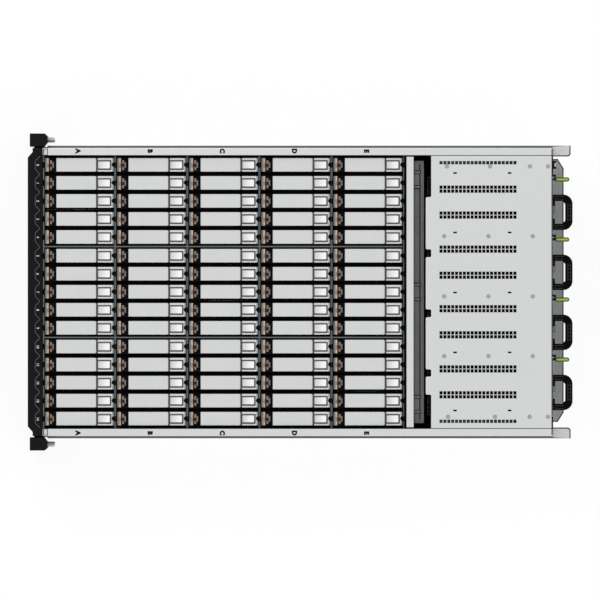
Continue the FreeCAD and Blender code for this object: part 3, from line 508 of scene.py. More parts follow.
def carrier_shape():
    """Rails, deck, printed end strip, amber guide, indicator window and latch block of module a2."""
    s = Shape()
    half = (carrier_hi[0] - carrier_lo[0]) / 2
    x0, x1, y0, y1 = MX - half, MX + half, carrier_lo[1], carrier_hi[1]
    xh, zb, zt = x1 - HEAD_TRIM, carrier_lo[2], carrier_hi[2]
    deck = disk_hi[2] + 2.0
    for ya, pocket in ((y0, 0.1), (y1 - 1.3, 0.9)):
        s.box((x0, ya, zb), (x1, ya + 1.3, disk_hi[2] + 0.4), CHARCOAL, 0.2)
        # dark patches in the rails: painted shade for the openings in them
        for z in range(12, 157, 29):
            s.box((x0 + 2.2, ya + pocket, zb + z), (x1 - 2.2, ya + pocket + 0.3, zb + z + 16),
                  RECESS_SHADE, 0.05)
    s.box((x0, y0, disk_hi[2]), (x1, y1, deck), CHARCOAL, 0.2)
    end = y0 + 5.85
    s.box((x0, y0 + 2.6, deck - 0.3), (xh, end, zt - 0.06), STRIP_MIDDLE, 0.3)
    for xa, xb in ((x0, MX - 2.3), (MX + 3.6, xh)):
        s.box((xa, y0 + 3.0, deck - 0.2), (xb, end - 0.02, zt), STRIP, 0.3)
    # the strip's front edge darker: painted shade
    s.box((x0, y0 + 0.2, deck - 0.3), (xh, y0 + 1.75, zt - 0.06), STRIP_SHADE, 0.3)
    s.box((x0, y0 + 1.7, deck - 0.3), (xh, y0 + 3.2, zt - 0.03), STRIP_PALE, 0.2)
    s.box((x0 + 0.5, end, deck - 0.3), (xh - 0.5, end + 1.9, zt - 0.25), AMBER, 0.2)
    # the window's dark inside: painted shade
    s.box((x0, end + 1.9, deck - 0.3), (xh, handle_lo[1] - 1.6, zt - 0.5), RECESS_SHADE, 0.3)
    # generic marks in the window: two blocks of tan strokes and a grey bracket behind them
    marks = [(-2.0, 3.2, -0.3, 2.6, 0.42, AMBER), (-3.6, 3.4, 3.05, 4.2, 0.4, PRINT_AND_SHADE_GREY),
             (-4.5, 4.2, 4.2, 5.45, 0.38, PRINT_MID)]
    marks += [(a, b, k, k + 0.72, 0.38, PRINT_TAN) for a, b in ((-7.3, -1.7), (3.0, 7.6)) for k in range(3)]
    window = end + 2.15
    for xa, xb, ya, yb, drop, mat in marks:
        s.box((MX + xa, window + ya, zt - 0.6), (MX + xb, window + yb, zt - drop), mat, 0.05)
    # latch block: a floor with a raised frame round the button, and a notch in its rear edge; the floor, the
    # frame's rear strip and the notch are in painted shade
    zf, rear = button_lo[2] - 0.02, y1 - 2.2
    s.box((x0, handle_hi[1] + 0.15, deck - 0.3), (xh, y1, zf - 0.55), GAP_SHADE, 0.15)
    bx0, bx1, by0, by1 = MX - 7.45, MX + 7.45, button_lo[1] - 0.3, button_hi[1] + 1.05
    for xa, xb, ya in ((x0, bx0, by0), (bx1, xh, by0), (bx0 - 0.1, MX - 3.6, by1),
                       (MX + 3.6, bx1 + 0.1, by1)):
        s.box((xa, ya, zf - 0.9), (xb, rear, zf), SURROUND, 0.2)
    s.box((x0, rear - 0.1, zf - 0.9), (xh, y1, zf - 0.08), SURROUND_REAR_SHADE, 0.2)
    s.bar(MX, 3.7, (by1, by1 + 1.9), (zf - 0.9, zf - 0.05), SURROUND, 0.2)
    notch = ((-3.9, 0), (-3.9, -1.2), (-1.9, -2.9), (0.9, -2.9), (2.9, -1.2), (2.9, 0))
    s.prism([(MX + a, y1 + b) for a, b in notch], zf - 0.5, zf + 0.02, RECESS_SHADE)
    return s


def handle_shape():
    """Flat handle with soft edges and a finger step at its rear end."""
    s = Shape()
    (x0, y0, z0), (x1, y1, z1) = handle_lo, handle_hi
    x1 -= HEAD_TRIM
    s.box((x0, y0, z0), (x1, y1 - 2.4, z1), PANEL, 0.4)
    s.box((x0 + 0.3, y1 - 3.2, z0), (x1 - 0.3, y1 - 1.0, z1 - 0.3), PANEL, 0.3)
    # the finger step in dark grey: painted shade
    s.box((x0 + 0.8, y1 - 1.0, z0), (x1 - 0.8, y1, z1 - 1.2), GAP_SHADE, 0.3)
    return s


def button_shape():
    """Catch button with a dished thumb face."""
    s = Shape()
    (x0, y0, z0), (x1, y1, z1) = button_lo, button_hi
    # the button's lower body in dark grey, showing as a ring round the face: painted shade
    s.box((x0 + 0.1, y0, z0), (x1 - 0.1, y1, z1 - 0.45), GAP_SHADE, 0.2)
    mid, half, verts = (x0 + x1) / 2 - 0.12, 5.3, []
    for a, drop in ((0, 0.5), (0.3, 0), (1.1, 0.05), (3.2, 0.35)):
        outline = rounded(mid - half + a, mid + half - a, y0 + 0.1 + a, y1 - 1.15 - a, 0.8, 4)
        verts += [(x, y, z1 - drop) for x, y in outline]
    n = len(outline)
    faces = [f for k in range(3) for f in between(k * n, (k + 1) * n, n)]
    s.add(verts, faces + [tuple(range(3 * n, 4 * n))], SHADED_BUTTON)
    return s


def disk_shape():
    """Bare 3.5-inch disk on its edge: casting, lid with raised rings, board and connector."""
    s = Shape()
    (x0, y0, z0), (x1, y1, z1) = disk_lo, disk_hi
    s.box((x0 + 1.6, y0, z0), (x1 - 0.9, y1, z1 - 1.4), CASTING, 0.6)
    # the disk's top edge near black: painted shade, so the gaps between the carriers read dark
    s.box((x0 + 1.2, y0 + 0.2, z1 - 1.5), (x1 - 0.5, y1 - 0.2, z1), RECESS_SHADE, 0.4)
    s.prism(rounded(y0 + 1.2, y1 - 1.2, z0 + 2, z1 - 2, 6), x1 - 1.0, x1 - 0.25, LID, "x", 0.3)
    cy, cz = (y0 + y1) / 2, z1 - 52
    s.tube((cy, cz), 42, 37.5, x1 - 0.3, x1 - 0.02, LID, "x", 48)
    s.disc((cy, cz), 13, x1 - 0.3, x1 - 0.05, LID, "x", 32, 0.1)
    s.disc((cy + 22, z0 + 30), 9, x1 - 0.3, x1 - 0.05, LID, "x", 24, 0.1)
    for y in (y0 + 4, y1 - 4, y0 + 48):
        for z in (z0 + 4, z1 - 5) if y == y0 + 48 else (z0 + 4, z0 + 70, z0 + 120):
            s.disc((y, z), 2.1, x1 - 0.3, x1 - 0.03, STEEL, "x", 12, 0.1)
    s.prism(rounded(y0 + 3, y1 - 3, z0 + 1.0, z0 + 96, 3), x0 + 0.9, x0 + 1.7, BOARD, "x")
    s.disc((cy, cz), 16, x0 + 0.6, x0 + 1.7, CASTING, "x", 32, 0.3)
    for a, b, w, h in ((20, 20, 14, 14), (48, 34, 20, 20), (76, 22, 10, 16), (34, 62, 9, 9), (70, 66, 12, 8)):
        s.box((x0 + 0.15, y0 + a, z0 + b), (x0 + 1.0, y0 + a + w, z0 + b + h), BLACK, 0.1)
    s.box((x0 + 1.2, y0 + 8, z0), (x0 + 7.2, y0 + 50, z0 + 6), BLACK, 0.3)
    for k in range(22):
        s.box((x0 + 3.8, y0 + 10 + 1.7 * k, z0), (x0 + 4.4, y0 + 10.9 + 1.7 * k, z0 + 4), GOLD, 0.05)
    return s


def plain_disk_shape():
    """A disk that stays in its bay: its top edge and ends are all that shows."""
    s = Shape()
    (x0, y0, z0), (x1, y1, z1) = disk_lo, disk_hi
    s.box((x0 + 1.6, y0, z0), (x1 - 0.9, y1, z1 - 1.4), CASTING, 0.5)
    # the disk's top edge near black: painted shade, so the gaps between the carriers read dark
    s.box((x0, y0, z1 - 1.5), disk_hi, RECESS_SHADE, 0.4)
    s.box((x1 - 1.0, y0 + 1.2, z0 + 2), (x1, y1 - 1.2, z1 - 2), LID, 0.3)
    s.box((x0, y0 + 3, z0 + 2), (x0 + 1.7, y1 - 3, z0 + 96), BOARD, 0.1)
    return s


fixed = [place(c, r) for c, r in FIXED]
carrier_shape().stamped(fixed).piece("carriers_set", "chassis", ("disk_carriers",))
handle_shape().stamped(fixed).piece("handles_set", "chassis", ("carrier_handles",), "light_plastic")
button_shape().stamped(fixed).piece("buttons_set", "chassis", ("carrier_latches",), "white_plastic")
plain_disk_shape().stamped(fixed).piece("disks_set", "chassis", ("disks",), "disk_casting")
for key, (c, r) in FREE.items():
    for make, name, body, node, slot in (
            (carrier_shape, "carrier_of_", "module_", "disk_carrier_", None),
            (disk_shape, "disk_of_", "module_", "disk_", "disk_casting"),
            (handle_shape, "handle_of_", "handle_", "carrier_handle_", "light_plastic"),
            (button_shape, "button_of_", "catch_", "carrier_latch_", "white_plastic")):
        make().stamped([place(c, r)]).piece(name + key, body + key, (node + key,), slot)


# ------------------------------------------------------------------ chassis

TRAY_INSIDE = 218.2
PRINT_DROP = 0.08  # room for print between the lowered faces and the top of the CAD
PRINT0, PRINT1 = TOP - PRINT_DROP - 0.02, TOP - 0.01


def tray_face(c, normal):
    """The inside of the tray in painted shade, the flanges and the outside bright."""
    if normal.z > 0.9 and c.z < 3:
        return 2
    return 1 if abs(c.x) < TRAY_INSIDE and abs(normal.x) > 0.9 else 0


redone("base_tray", "tray_body", [TRAY, INNER_WALL_SHADE, TRAY_FLOOR], 0.25, tray_face, PRINT_DROP)
redone("slide_members", "slide_rails", [RAIL, GALV_TAB], 0.3,
       lambda c, normal: int(c.y > LIP_START))
for node, mat, bevel in (("front_panel", PANEL_SHADE, 0.15), ("left_ear", BLACK, 0.8),
                         ("right_ear", BLACK, 0.8), ("column_dividers", DIVIDER, 0.35),
                         ("row_dividers", GROUP_WALL, 0.3), ("cross_beam", BEAM, 0.35),
                         ("midplane_frame", FRAME_GREY, 0.4), ("midplane_board", BOARD_SHADE, 0.2),
                         ("bay_shelves", SHELF, 0.2), ("bay_walls", SHELF, 0.2),
                         ("rear_fillers", FILLER, 0.2)):
    dress(node, mat, bevel)


# ------------------------------------------------------------------ plates and lines

def grid_plate(shape, x0, x1, y0, y1, z0, z1, holes, mat):
    """A flat plate with rectangular holes, laid out on one grid so that every face is a quad."""
    xs = sorted({x0, x1} | {h[k] for h in holes for k in (0, 1)})
    ys = sorted({y0, y1} | {h[k] for h in holes for k in (2, 3)})
    solid = {(i, j) for i in range(len(xs) - 1) for j in range(len(ys) - 1)}
    for a0, a1, b0, b1 in holes:
        solid -= {(i, j) for i in range(xs.index(a0), xs.index(a1))
                  for j in range(ys.index(b0), ys.index(b1))}
    verts, faces, number = [], [], {}

    def at(i, j, k):
        """Number of a corner of the grid, which becomes a vertex when a face first needs it."""
        if (i, j, k) not in number:
            number[i, j, k] = len(verts)
            verts.append((xs[i], ys[j], (z0, z1)[k]))
        return number[i, j, k]

    for i, j in sorted(solid):
        corners = ((i, j), (i + 1, j), (i + 1, j + 1), (i, j + 1))
        faces += [[at(*p, 1) for p in corners], [at(*p, 0) for p in corners[::-1]]]
        for n, (di, dj) in enumerate(((0, -1), (1, 0), (0, 1), (-1, 0))):
            if (i + di, j + dj) not in solid:
                p, q = corners[n], corners[(n + 1) % 4]
                faces.append((at(*p, 0), at(*q, 0), at(*q, 1), at(*p, 1)))
    shape.add(verts, faces, mat)


def hex_screen(shape, x0, x1, z0, z1, y0, y1, pitch, bar, mat):
    """An upright honeycomb screen that fills a rectangle to within one cell."""
    step, outer = pitch * math.sqrt(3) / 2, pitch / math.sqrt(3)
    inner = outer * (pitch - bar) / pitch
    columns = int((x1 - x0 - 2 * outer) / step) + 1
    for c in range(columns):
        x = (x0 + x1) / 2 + (c - (columns - 1) / 2) * step
        count = int((z1 - z0) / pitch) - c % 2
        for r in range(count):
            z = (z0 + z1) / 2 + (r - (count - 1) / 2) * pitch
            verts = [(a, y, b) for y in (y0, y1) for radius in (outer, inner)
                     for a, b in circle(x, z, radius, 6)]
            shape.add(verts, between(0, 6, 6) + between(18, 12, 6) + between(6, 18, 6), mat)


def stroke(shape, points, width, z0, z1, mat):
    """A printed line of a given width through several points."""
    for (xa, ya), (xb, yb) in zip(points, points[1:]):
        d = math.hypot(xb - xa, yb - ya)
        ux, uy = (xb - xa) / d * width / 2, (yb - ya) / d * width / 2
        shape.prism([(xa - ux - uy, ya - uy + ux), (xa - ux + uy, ya - uy - ux),
                     (xb + ux + uy, yb + uy - ux), (xb + ux - uy, yb + uy + ux)], z0, z1, mat)


# ------------------------------------------------------------------ print and small fittings on the chassis

FLANGE_MIDDLE = 214.6
letters = Shape()
for column, letter in enumerate("ABCDE"):
    for side in (-1, 1):
        y = Y_CELLS + (column + 0.5) * COLUMN_PITCH - 1.9
        letters.add(*lettering(letter, side * FLANGE_MIDDLE, y, 9.5, 0.8), PRINT_AND_SHADE_BLACK)
letters.piece("column_letters", "chassis")

redone("front_bezel", "bezel_moulding", [BLACK], 0.7, drop=PRINT_DROP)
marks = Shape()
zigzag = []
for row in range(ROWS):
    x = row_x(row)
    marks.add(*lettering(str(row), x, Y_FRONT + 15.2, 5.2, 0.1), PRINT_AND_GLINT_WHITE)
    zigzag += [(x - 13.3, Y_FRONT + 18.6), (x - 6.4, Y_FRONT + 11.4), (x + 6.4, Y_FRONT + 11.4)]
zigzag.append((x + 13.3, Y_FRONT + 18.6))
stroke(marks, zigzag, 0.75, PRINT0, PRINT1, PRINT_AND_SHADE_GREY)
marks.piece("row_numbers", "chassis")

screen = Shape()
for group in range(3):
    x = group_x(group)
    hex_screen(screen, x - 63, x + 63, 15.5, TOP - 15.5, Y_FRONT + 4.1, Y_FRONT + 4.8, 5.4, 0.9, CHARCOAL)
screen.piece("bezel_screen", "chassis")

# ears: a raised pad on the top of each
for name, a, b in (("left", 3, 4), ("right", 4, 3)):
    lo, hi = mm(name + "_ear")
    ear = Shape()
    ear.prism(rounded(lo[0] + a, hi[0] - b, lo[1] + 4.5, lo[1] + 20.5, 2.0), hi[2] - 0.9, hi[2] - 0.02,
              CHARCOAL, "z", 0.3)
    ear.piece(name + "_ear_cap", "chassis")

# captive screws: a head with a recess in the ear's face, and a threaded pin behind it
THREAD_PITCH, PIN_LENGTH, PIN_RADIUS = 1.25, 9.8, 3.9
(_, y0, _), (x1, y1, _) = mm("ear_screws")
pin = y1 - PIN_LENGTH
head = [(y0 + 3.0, 2.0), (y0, 2.4), (y0, 3.4), (y0 + 0.6, 4.0), (pin - 0.7, 4.0), (pin - 0.6, 3.2),
        (pin, 3.2)]
thread = [(pin, 3.2), (pin + 0.1, PIN_RADIUS - 0.5)]
for n in range(7):
    y = pin + 0.3 + THREAD_PITCH * n
    thread += [(y, PIN_RADIUS - 0.45), (y + 0.5, PIN_RADIUS), (y + 0.75, PIN_RADIUS)]
thread += [(y1 - 0.7, PIN_RADIUS - 0.4), (y1, PIN_RADIUS - 1.1)]
screws = Shape()
for x in (4.05 - x1, x1 - 4.05):
    for z in (TOP / 2 - 50.8, TOP / 2 + 50.8):
        screws.turned(x, z, head, PIN, 12)
        screws.turned(x, z, thread, PIN)
screws.piece("ear_screws_threaded", "chassis", ("ear_screws",), "steel", 25)

# shadow lines where sheets meet: flange ends, guard tabs and the rear lip's rim
seams = Shape()
_, (slide_half, slide_end, tab_top) = mm("slide_members")
lip_end = mm("base_tray")[1][1]
ya, yb = Y_PANEL + 7.7, cover_hi[1]
for side in (-1, 1):
    x0, x1, y0, y1 = slide_half - 15.6, slide_half - 0.6, yb + 2.2, slide_end - 0.6
    lip = 197.6 if side > 0 else 202.4
    for line, width, z0, z1, mat in (
            ([(208.4, ya), (218.2, ya)], 1.0, PRINT0, PRINT1, OUTLINE),
            ([(207.7, yb + 0.8), (218.4, yb + 0.8)], 1.0, PRINT0, PRINT1, OUTLINE),
            ([(207.8, ya), (207.8, yb)], 1.02, PRINT0, PRINT1 - 0.005, RECESS_SHADE),
            ([(x0, y0), (x0, y1 - 3.6), (x0 + 1.1, y1 - 1.1), (x0 + 3.6, y1), (x1, y1)], 1.8,
             tab_top - 0.05, tab_top + 0.06, OUTLINE),
            ([(207.6, ya - 6.1), (218.3, ya - 6.1)], 1.5, TOP - 3.1, TOP - 2.9, PRINT_AND_SHADE_GREY),
            ([(lip, yb + 2), (lip, lip_end - 9.2), (lip - 13.7, lip_end - 0.6), (0, lip_end - 0.6)], 1.8,
             1.15, 1.225, OUTLINE)):
        stroke(seams, [(side * a, b) for a, b in line], width, z0, z1, mat)
last_divider = Y_CELLS + COLUMNS * COLUMN_PITCH
for y in (last_divider - 1.15, last_divider + 1.15):
    stroke(seams, [(-207, y), (207, y)], 0.75, 167.9, 168.06, RECESS_SHADE)
(_, y0, _), (_, _, z1) = mm("midplane_frame")
# dark outlines round the frame's grey pads: painted shadow
for pad in (-171.0, 0.0, 171.0):
    for x in (pad - 11.2, pad + 11.2):
        seams.bar(x, 2.8, (y0 + 0.2, y0 + 9.8), (z1 - 1.9, z1 + 0.1), PRINT_AND_SHADE_BLACK, 0.1)
        seams.bar(x, 1.7, (y0 + 0.2, y0 + 8.7), (z1 - 1.8, z1 + 0.2), FRAME_GREY, 0.1)
seams.piece("seam_lines", "chassis")

# the front panel's top edge between the notches, lighter than the panel: painted light on its lit top
(x0, _, _), (x1, _, z1) = mm("front_panel")
rim = Shape()
ends = [x0] + [row_x(r) + d for r in range(ROWS) for d in (-4.5, 4.2)] + [x1]
for a, b in zip(ends[::2], ends[1::2]):
    rim.box((a, carrier_lo[1] - 2.9, z1 - 1.2), (b, carrier_lo[1] - 1.05, z1 + 0.02), PANEL_LIT_RIM, 0.1)
rim.piece("front_panel_lit_rim", "chassis")

# backplanes: the boards green, the connectors on them black
CONNECTOR_Z = mm("disk_backplanes")[1][2] - 4.65
redone("disk_backplanes", "backplane_boards", [BOARD, BLACK], 0.2,
       lambda c, normal: int(c.z > CONNECTOR_Z))

# ------------------------------------------------------------------ rear cover

COVER_TOP, COVER_UNDER, COVER_HALF = TOP - 0.06, TOP - 1.2, cover_hi[0]
y_teeth, y_edge, y_back = cover_lo[1] + 0.25, cover_lo[1] + 8.5, cover_hi[1]
band = y_edge + 1.5
HOLE_X, HOLE_Y, HOLE_PITCH, HOLE_COLUMNS = 5.1, 4.7, 5.92, 20
hole_x = [side * (x + d) for side in (-1, 1) for x in (25.5, 65.2, 117.1, 156.5) for d in (-3.0, 3.0)]
hole_y = [Y_FRONT + 629.05 + HOLE_PITCH * k for k in range(HOLE_COLUMNS)]
openings = [(x - HOLE_X / 2, x + HOLE_X / 2, y - HOLE_Y / 2, y + HOLE_Y / 2)
            for x in hole_x + [-196.8, 196.8] for y in hole_y]
slots = [(x - 1.3, x + 1.3, Y_FRONT + d - 2.75, Y_FRONT + d + 2.75)
         for x in (-181.1, -90.6, 0.8, 91.9, 180.4) for d in (650.4, 733.5)]
cover = Shape()
grid_plate(cover, -COVER_HALF, COVER_HALF, band, y_back, COVER_UNDER, COVER_TOP, openings + slots, GALV)
edge, r = [(-COVER_HALF, y_edge)], 2.2
for x0, x1 in ((-144.4, -65.0), (-53.0, 26.4), (38.4, 117.8), (128.8, 156.2)):
    edge += arc(x0 - r, y_edge - r, r, 90, -90, 4) + arc(x0 + r, y_teeth + r, r, 180, 90, 4)
    edge += arc(x1 - r, y_teeth + r, r, 270, 90, 4) + arc(x1 + r, y_edge - r, r, 180, -90, 4)
edge += [(COVER_HALF, y_edge), (COVER_HALF, band), (-COVER_HALF, band)]
cover.prism(edge, COVER_UNDER, COVER_TOP, GALV)
# under the cover's side edges, under its slots and along its rear edge: near-black painted shade
middle, half = (COVER_HALF + 203.2) / 2, (COVER_HALF - 203.4) / 2
for x in (-middle, middle):
    cover.bar(x, half, (y_edge, y_back), (cover_lo[2], COVER_UNDER), RECESS_SHADE, 0.1)
for x0, x1, y0, y1 in slots:
    cover.box((x0 - 1.5, y0 - 1.5, TOP - 1.6), (x1 + 1.5, y1 + 1.5, TOP - 1.22), RECESS_SHADE, 0.1)
cover.bar(0, COVER_HALF, (y_back - 1.25, y_back), (TOP - 1.1, COVER_TOP + 0.012), RECESS_SHADE, 0.05)
cover.piece("cover_plate", "chassis", ("rear_cover",), "galvanised")
rivets = Shape()
inner_rivets = (633.9, 701.2, 768.6)
for x, stations in ((-191.2, (638, 703.6, 764.4, 791.9)), (-84.9, inner_rivets), (6.7, inner_rivets),
                    (97.6, inner_rivets), (190, (639.7, 711.2, 763.8, 791.9))):
    for d in stations:
        rivets.disc((x, Y_FRONT + d), 3.0, COVER_TOP - 0.3, TOP - 0.005, RIVET, sides=24)
        # a dark ring round each rivet head: painted shade
        rivets.tube((x, Y_FRONT + d), 3.25, 2.95, COVER_TOP - 0.2, COVER_TOP + 0.012, PRINT_AND_SHADE_GREY, sides=24)
rivets.piece("cover_rivets", "chassis")


# ------------------------------------------------------------------ power supplies

def dimple_plate(shape, x0, x1, z0, z1, y0, y1, pitch, size, mat):
    """An upright plate with square holes, its outline to the millimetre."""
    nx, nz = int((x1 - x0 - 2) / pitch), int((z1 - z0 - 2) / pitch)
    holes = []
    for i in range(nx):
        for j in range(nz):
            x = (x0 + x1) / 2 + (i - (nx - 1) / 2) * pitch
            z = (z0 + z1) / 2 + (j - (nz - 1) / 2) * pitch
            holes.append([round(v, 4) for v in (x - size / 2, x + size / 2, z - size / 2, z + size / 2)])
    flat = Shape()
    grid_plate(flat, x0, x1, z0, z1, 0, y1 - y0, holes, mat)
    shape.add([(x, y1 - h, z) for x, z, h in flat.v], flat.f, mat)


for k in range(1, 5):
    body = "psu_%d" % k
    dress(body + "_case", GALV, 0.4)
    (x0, y0, z0), (x1, face, z1) = mm(body + "_case")
    mid = (x0 + x1) / 2
    s = Shape()
    # black boxes over the case's front and top: painted shade, so the cover's holes above read dark
    s.box((x0 - 0.02, y0 - 0.02, z0 - 0.02), (x1 + 0.02, y0 + 5.4, z1 + 0.05), RECESS_SHADE, 0.08)
    s.box((x0 + 0.2, y0 + 4, z1 - 0.2), (x1 - 0.2, face - 0.15, z1 + 0.12), RECESS_SHADE, 0.1)
    vent, half, vent_z = mid - 14, 18.9, (z0 + 3.1, z0 + 30.9)
    dimple_plate(s, vent - half, vent + half, *vent_z, face - 2.2, face - 1.4, 3.6, 2.8, STEEL)
    # a dark plate behind the vent: painted shade seen through its holes
    s.bar(vent, half, (face - 2.95, face - 2.5), vent_z, RECESS_SHADE, 0.05)
    inlet, iz = x1 - 17.15, z0 + 3
    for dx, half, za, zb in ((-12.4, 1, 0.1, 19.9), (12.4, 1, 0.1, 19.9), (0, 11.5, 0.1, 2.1),
                             (0, 11.5, 17.9, 19.9)):
        s.bar(inlet + dx, half, (face - 16.9, face + 0.3), (iz + za, iz + zb), BLACK, 0.2)
    s.bar(inlet, 11.5, (face - 16.9, face - 16), (iz + 2, iz + 18), BLACK, 0.1)
    for dx, dz in ((-6.5, 8), (6.5, 8), (0, 12)):
        s.bar(inlet + dx, 0.9, (face - 16, face - 5), (iz + dz - 2, iz + dz + 2), STEEL, 0.3)
    for dx, dz in ((-36.5, 3.5), (39.5, 3.5), (39.5, 36.5)):
        s.disc((z0 + dz, mid + dx), 1.9, face - 0.3, face + 0.45, STEEL, "y", 20, 0.2)
    s.disc((z0 + 33.5, mid + 33), 1.3, face - 0.3, face + 0.2, LENS, "y", 16, 0.1)
    s.piece(body + "_fittings", body)
    catch = Shape()
    catch.box((x0 - 4.85, face - 0.7, z1 - 24), (x0 - 2.05, face + 5.2, z1 - 8), BLACK, 0.3)
    catch.box((x0 - 2.45, face + 1.9, z1 - 22), (x0 - 0.85, face + 5.2, z1 - 10), BLACK, 0.3)
    catch.piece(body + "_catch", "chassis")

    dress(body + "_handle", HANDLE_BLACK, 1.1)
    (x0, y0, z0), (x1, y1, top) = mm(body + "_handle")
    mid, over = (x0 + x1) / 2, (top - 0.3, top + 0.25)
    ribs = Shape()
    for side in (-1, 1):
        # the grip's ribs are in the seam-shadow grey, lighter than the black handle
        for dx in (24.4, 20):
            ribs.bar(mid + side * dx, 0.35, (y0 + 3.5, y1 - 13.5), over, OUTLINE, 0.1)
        root = mid + side * 13.6
        ribs.bar(root, 4.2, (face, face + 3.6), (top - 7.5, top - 0.5), HANDLE_BLACK, 0.8)
        ribs.tube((root, face + 1.9), 1.6, 0.9, top - 0.6, top - 0.3, CHARCOAL, "z", 16)
        ribs.tube((mid + side * 22.1, y0 + 3.2), 2.4, 1.5, top - 0.3, top + 0.2, CHARCOAL, "z", 20)
    for y in (y1 - 2.8, y1 - 7.2):
        ribs.bar(mid, 13.5, (y - 0.35, y + 0.35), over, OUTLINE, 0.1)
    for n in range(-2, 3):
        ribs.bar(mid + 5.4 * n, 0.35, (y1 - 8.4, y1 - 1.6), (top - 0.3, top + 0.22), OUTLINE, 0.1)
    web = ((-17.2, -9.4), (-17.2, -15.6), (-12.8, -11.2), (12.8, -11.2), (17.2, -15.6), (17.2, -9.4))
    ribs.prism([(mid + a, y1 + b) for a, b in web], z0 + 0.6, top - 0.3, HANDLE_BLACK)
    ribs.piece(body + "_handle_ribs", body)

    (x0, y0, z0), (x1, y1, z1) = mm(body + "_latch")
    x, half = (x0 + x1) / 2, (x1 - x0) / 2
    latch = Shape()
    latch.bar(x, 1.6, (y0, face + 5.4), (z0 + 1, z1 - 1), BLACK, 0.3)
    latch.box((x - 3.0, face + 1.9, z0 + 1), (x + 1.6, face + 5.5, z1 - 0.8), BLACK, 0.3)
    for r, za, zb, mat in ((half + 0.3, z0, z1 - 0.7, GREEN_RIM), (half - 1.5, z1 - 0.8, z1, GREEN)):
        foot = face + 4.4 + half - r
        tongue = [(x + r, foot)] + arc(x, y1 - half - 0.3, r, 0, 180, 12) + [(x - r, foot)]
        latch.prism(tongue, za, zb, mat, "z", 0.3)
    latch.piece(body + "_release_tab", body + "_release", (body + "_latch",), "green_plastic")


# ------------------------------------------------------------------ fan modules

BLADES, SPANS, STEPS = 6, 5, 6
HUB, CHORD, TWIST, LEAN, HALF_THICK = 16, 26, 0.62, 0.16, 0.9


def blade(x, y, z, tip, turn):
    """A twisted blade on an axis along Y: a grid of quads on each side and the edge between them."""
    verts = []
    for side in (-1, 1):
        for i in range(SPANS + 1):
            out = i / SPANS
            r = HUB + (tip - HUB) * out
            for j in range(STEPS + 1):
                u = j / STEPS - 0.5
                twist = TWIST * (u + 0.5 * u * abs(u)) * (1 - 0.3 * out)
                t = turn + LEAN * out + twist + side * HALF_THICK / r
                verts.append((x + r * math.sin(t), y + CHORD * u * (1 - 0.12 * out), z + r * math.cos(t)))
    row, n = STEPS + 1, (SPANS + 1) * (STEPS + 1)
    faces = []
    for i in range(SPANS):
        for a in range(i * row, i * row + STEPS):
            quad = (a, a + 1, a + row + 1, a + row)
            faces += [quad, tuple(v + n for v in quad[::-1])]
    edge = [*range(row), *range(2 * row - 1, n, row), *range(n - 2, n - row - 1, -1),
            *range(n - 2 * row, 0, -row)]
    return verts, faces + [(b, a, a + n, b + n) for a, b in zip(edge, edge[1:] + edge[:1])]


for k in range(1, 5):
    body = "fan_%d" % k
    lo, hi = mm(body + "_rotor")
    x, y, z = (lo[0] + hi[0]) / 2, lo[1], (lo[2] + hi[2]) / 2
    rotor = Shape()
    rotor.disc((z, x), 17, y, y + 34, BLACK, "y", 48, 1.2)
    rotor.tube((z, x), 13.5, 12.6, y + 33.5, y + 34.25, CHARCOAL, "y", 48)
    rotor.disc((z, x), 5.6, y + 33.5, hi[1], STEEL, "y", 24, 0.2)
    for b in range(BLADES):
        rotor.add(*blade(x, y + 17, z, (hi[2] - lo[2]) / 2, 2 * math.pi * b / BLADES), BLACK)
    rotor.piece(body + "_wheel", body + "_blades", (body + "_rotor",), "black_plastic", 35)

    dress(body + "_housing", BLACK, 0.6)
    lo, hi = mm(body + "_housing")
    x, z, face = (lo[0] + hi[0]) / 2, (lo[2] + hi[2]) / 2, hi[1] - 5.0
    s = Shape()
    for dx, dz in ((-38.5, -35.5), (-38.5, 35.5), (38.5, -35.5), (38.5, 35.5)):
        s.disc((z + dz, x + dx), 2.1, face - 0.3, face + 0.4, STEEL, "y", 20, 0.2)
    s.bar(x, 8.5, (face - 0.1, hi[1]), (lo[2], lo[2] + 1.55), LEVER, 0.3)
    s.bar(x + 27, 7, (lo[1] - 0.02, lo[1] + 3), (lo[2] + 8, lo[2] + 14), BLACK, 0.3)
    s.piece(body + "_fittings", body)

# ------------------------------------------------------------------ expansion modules

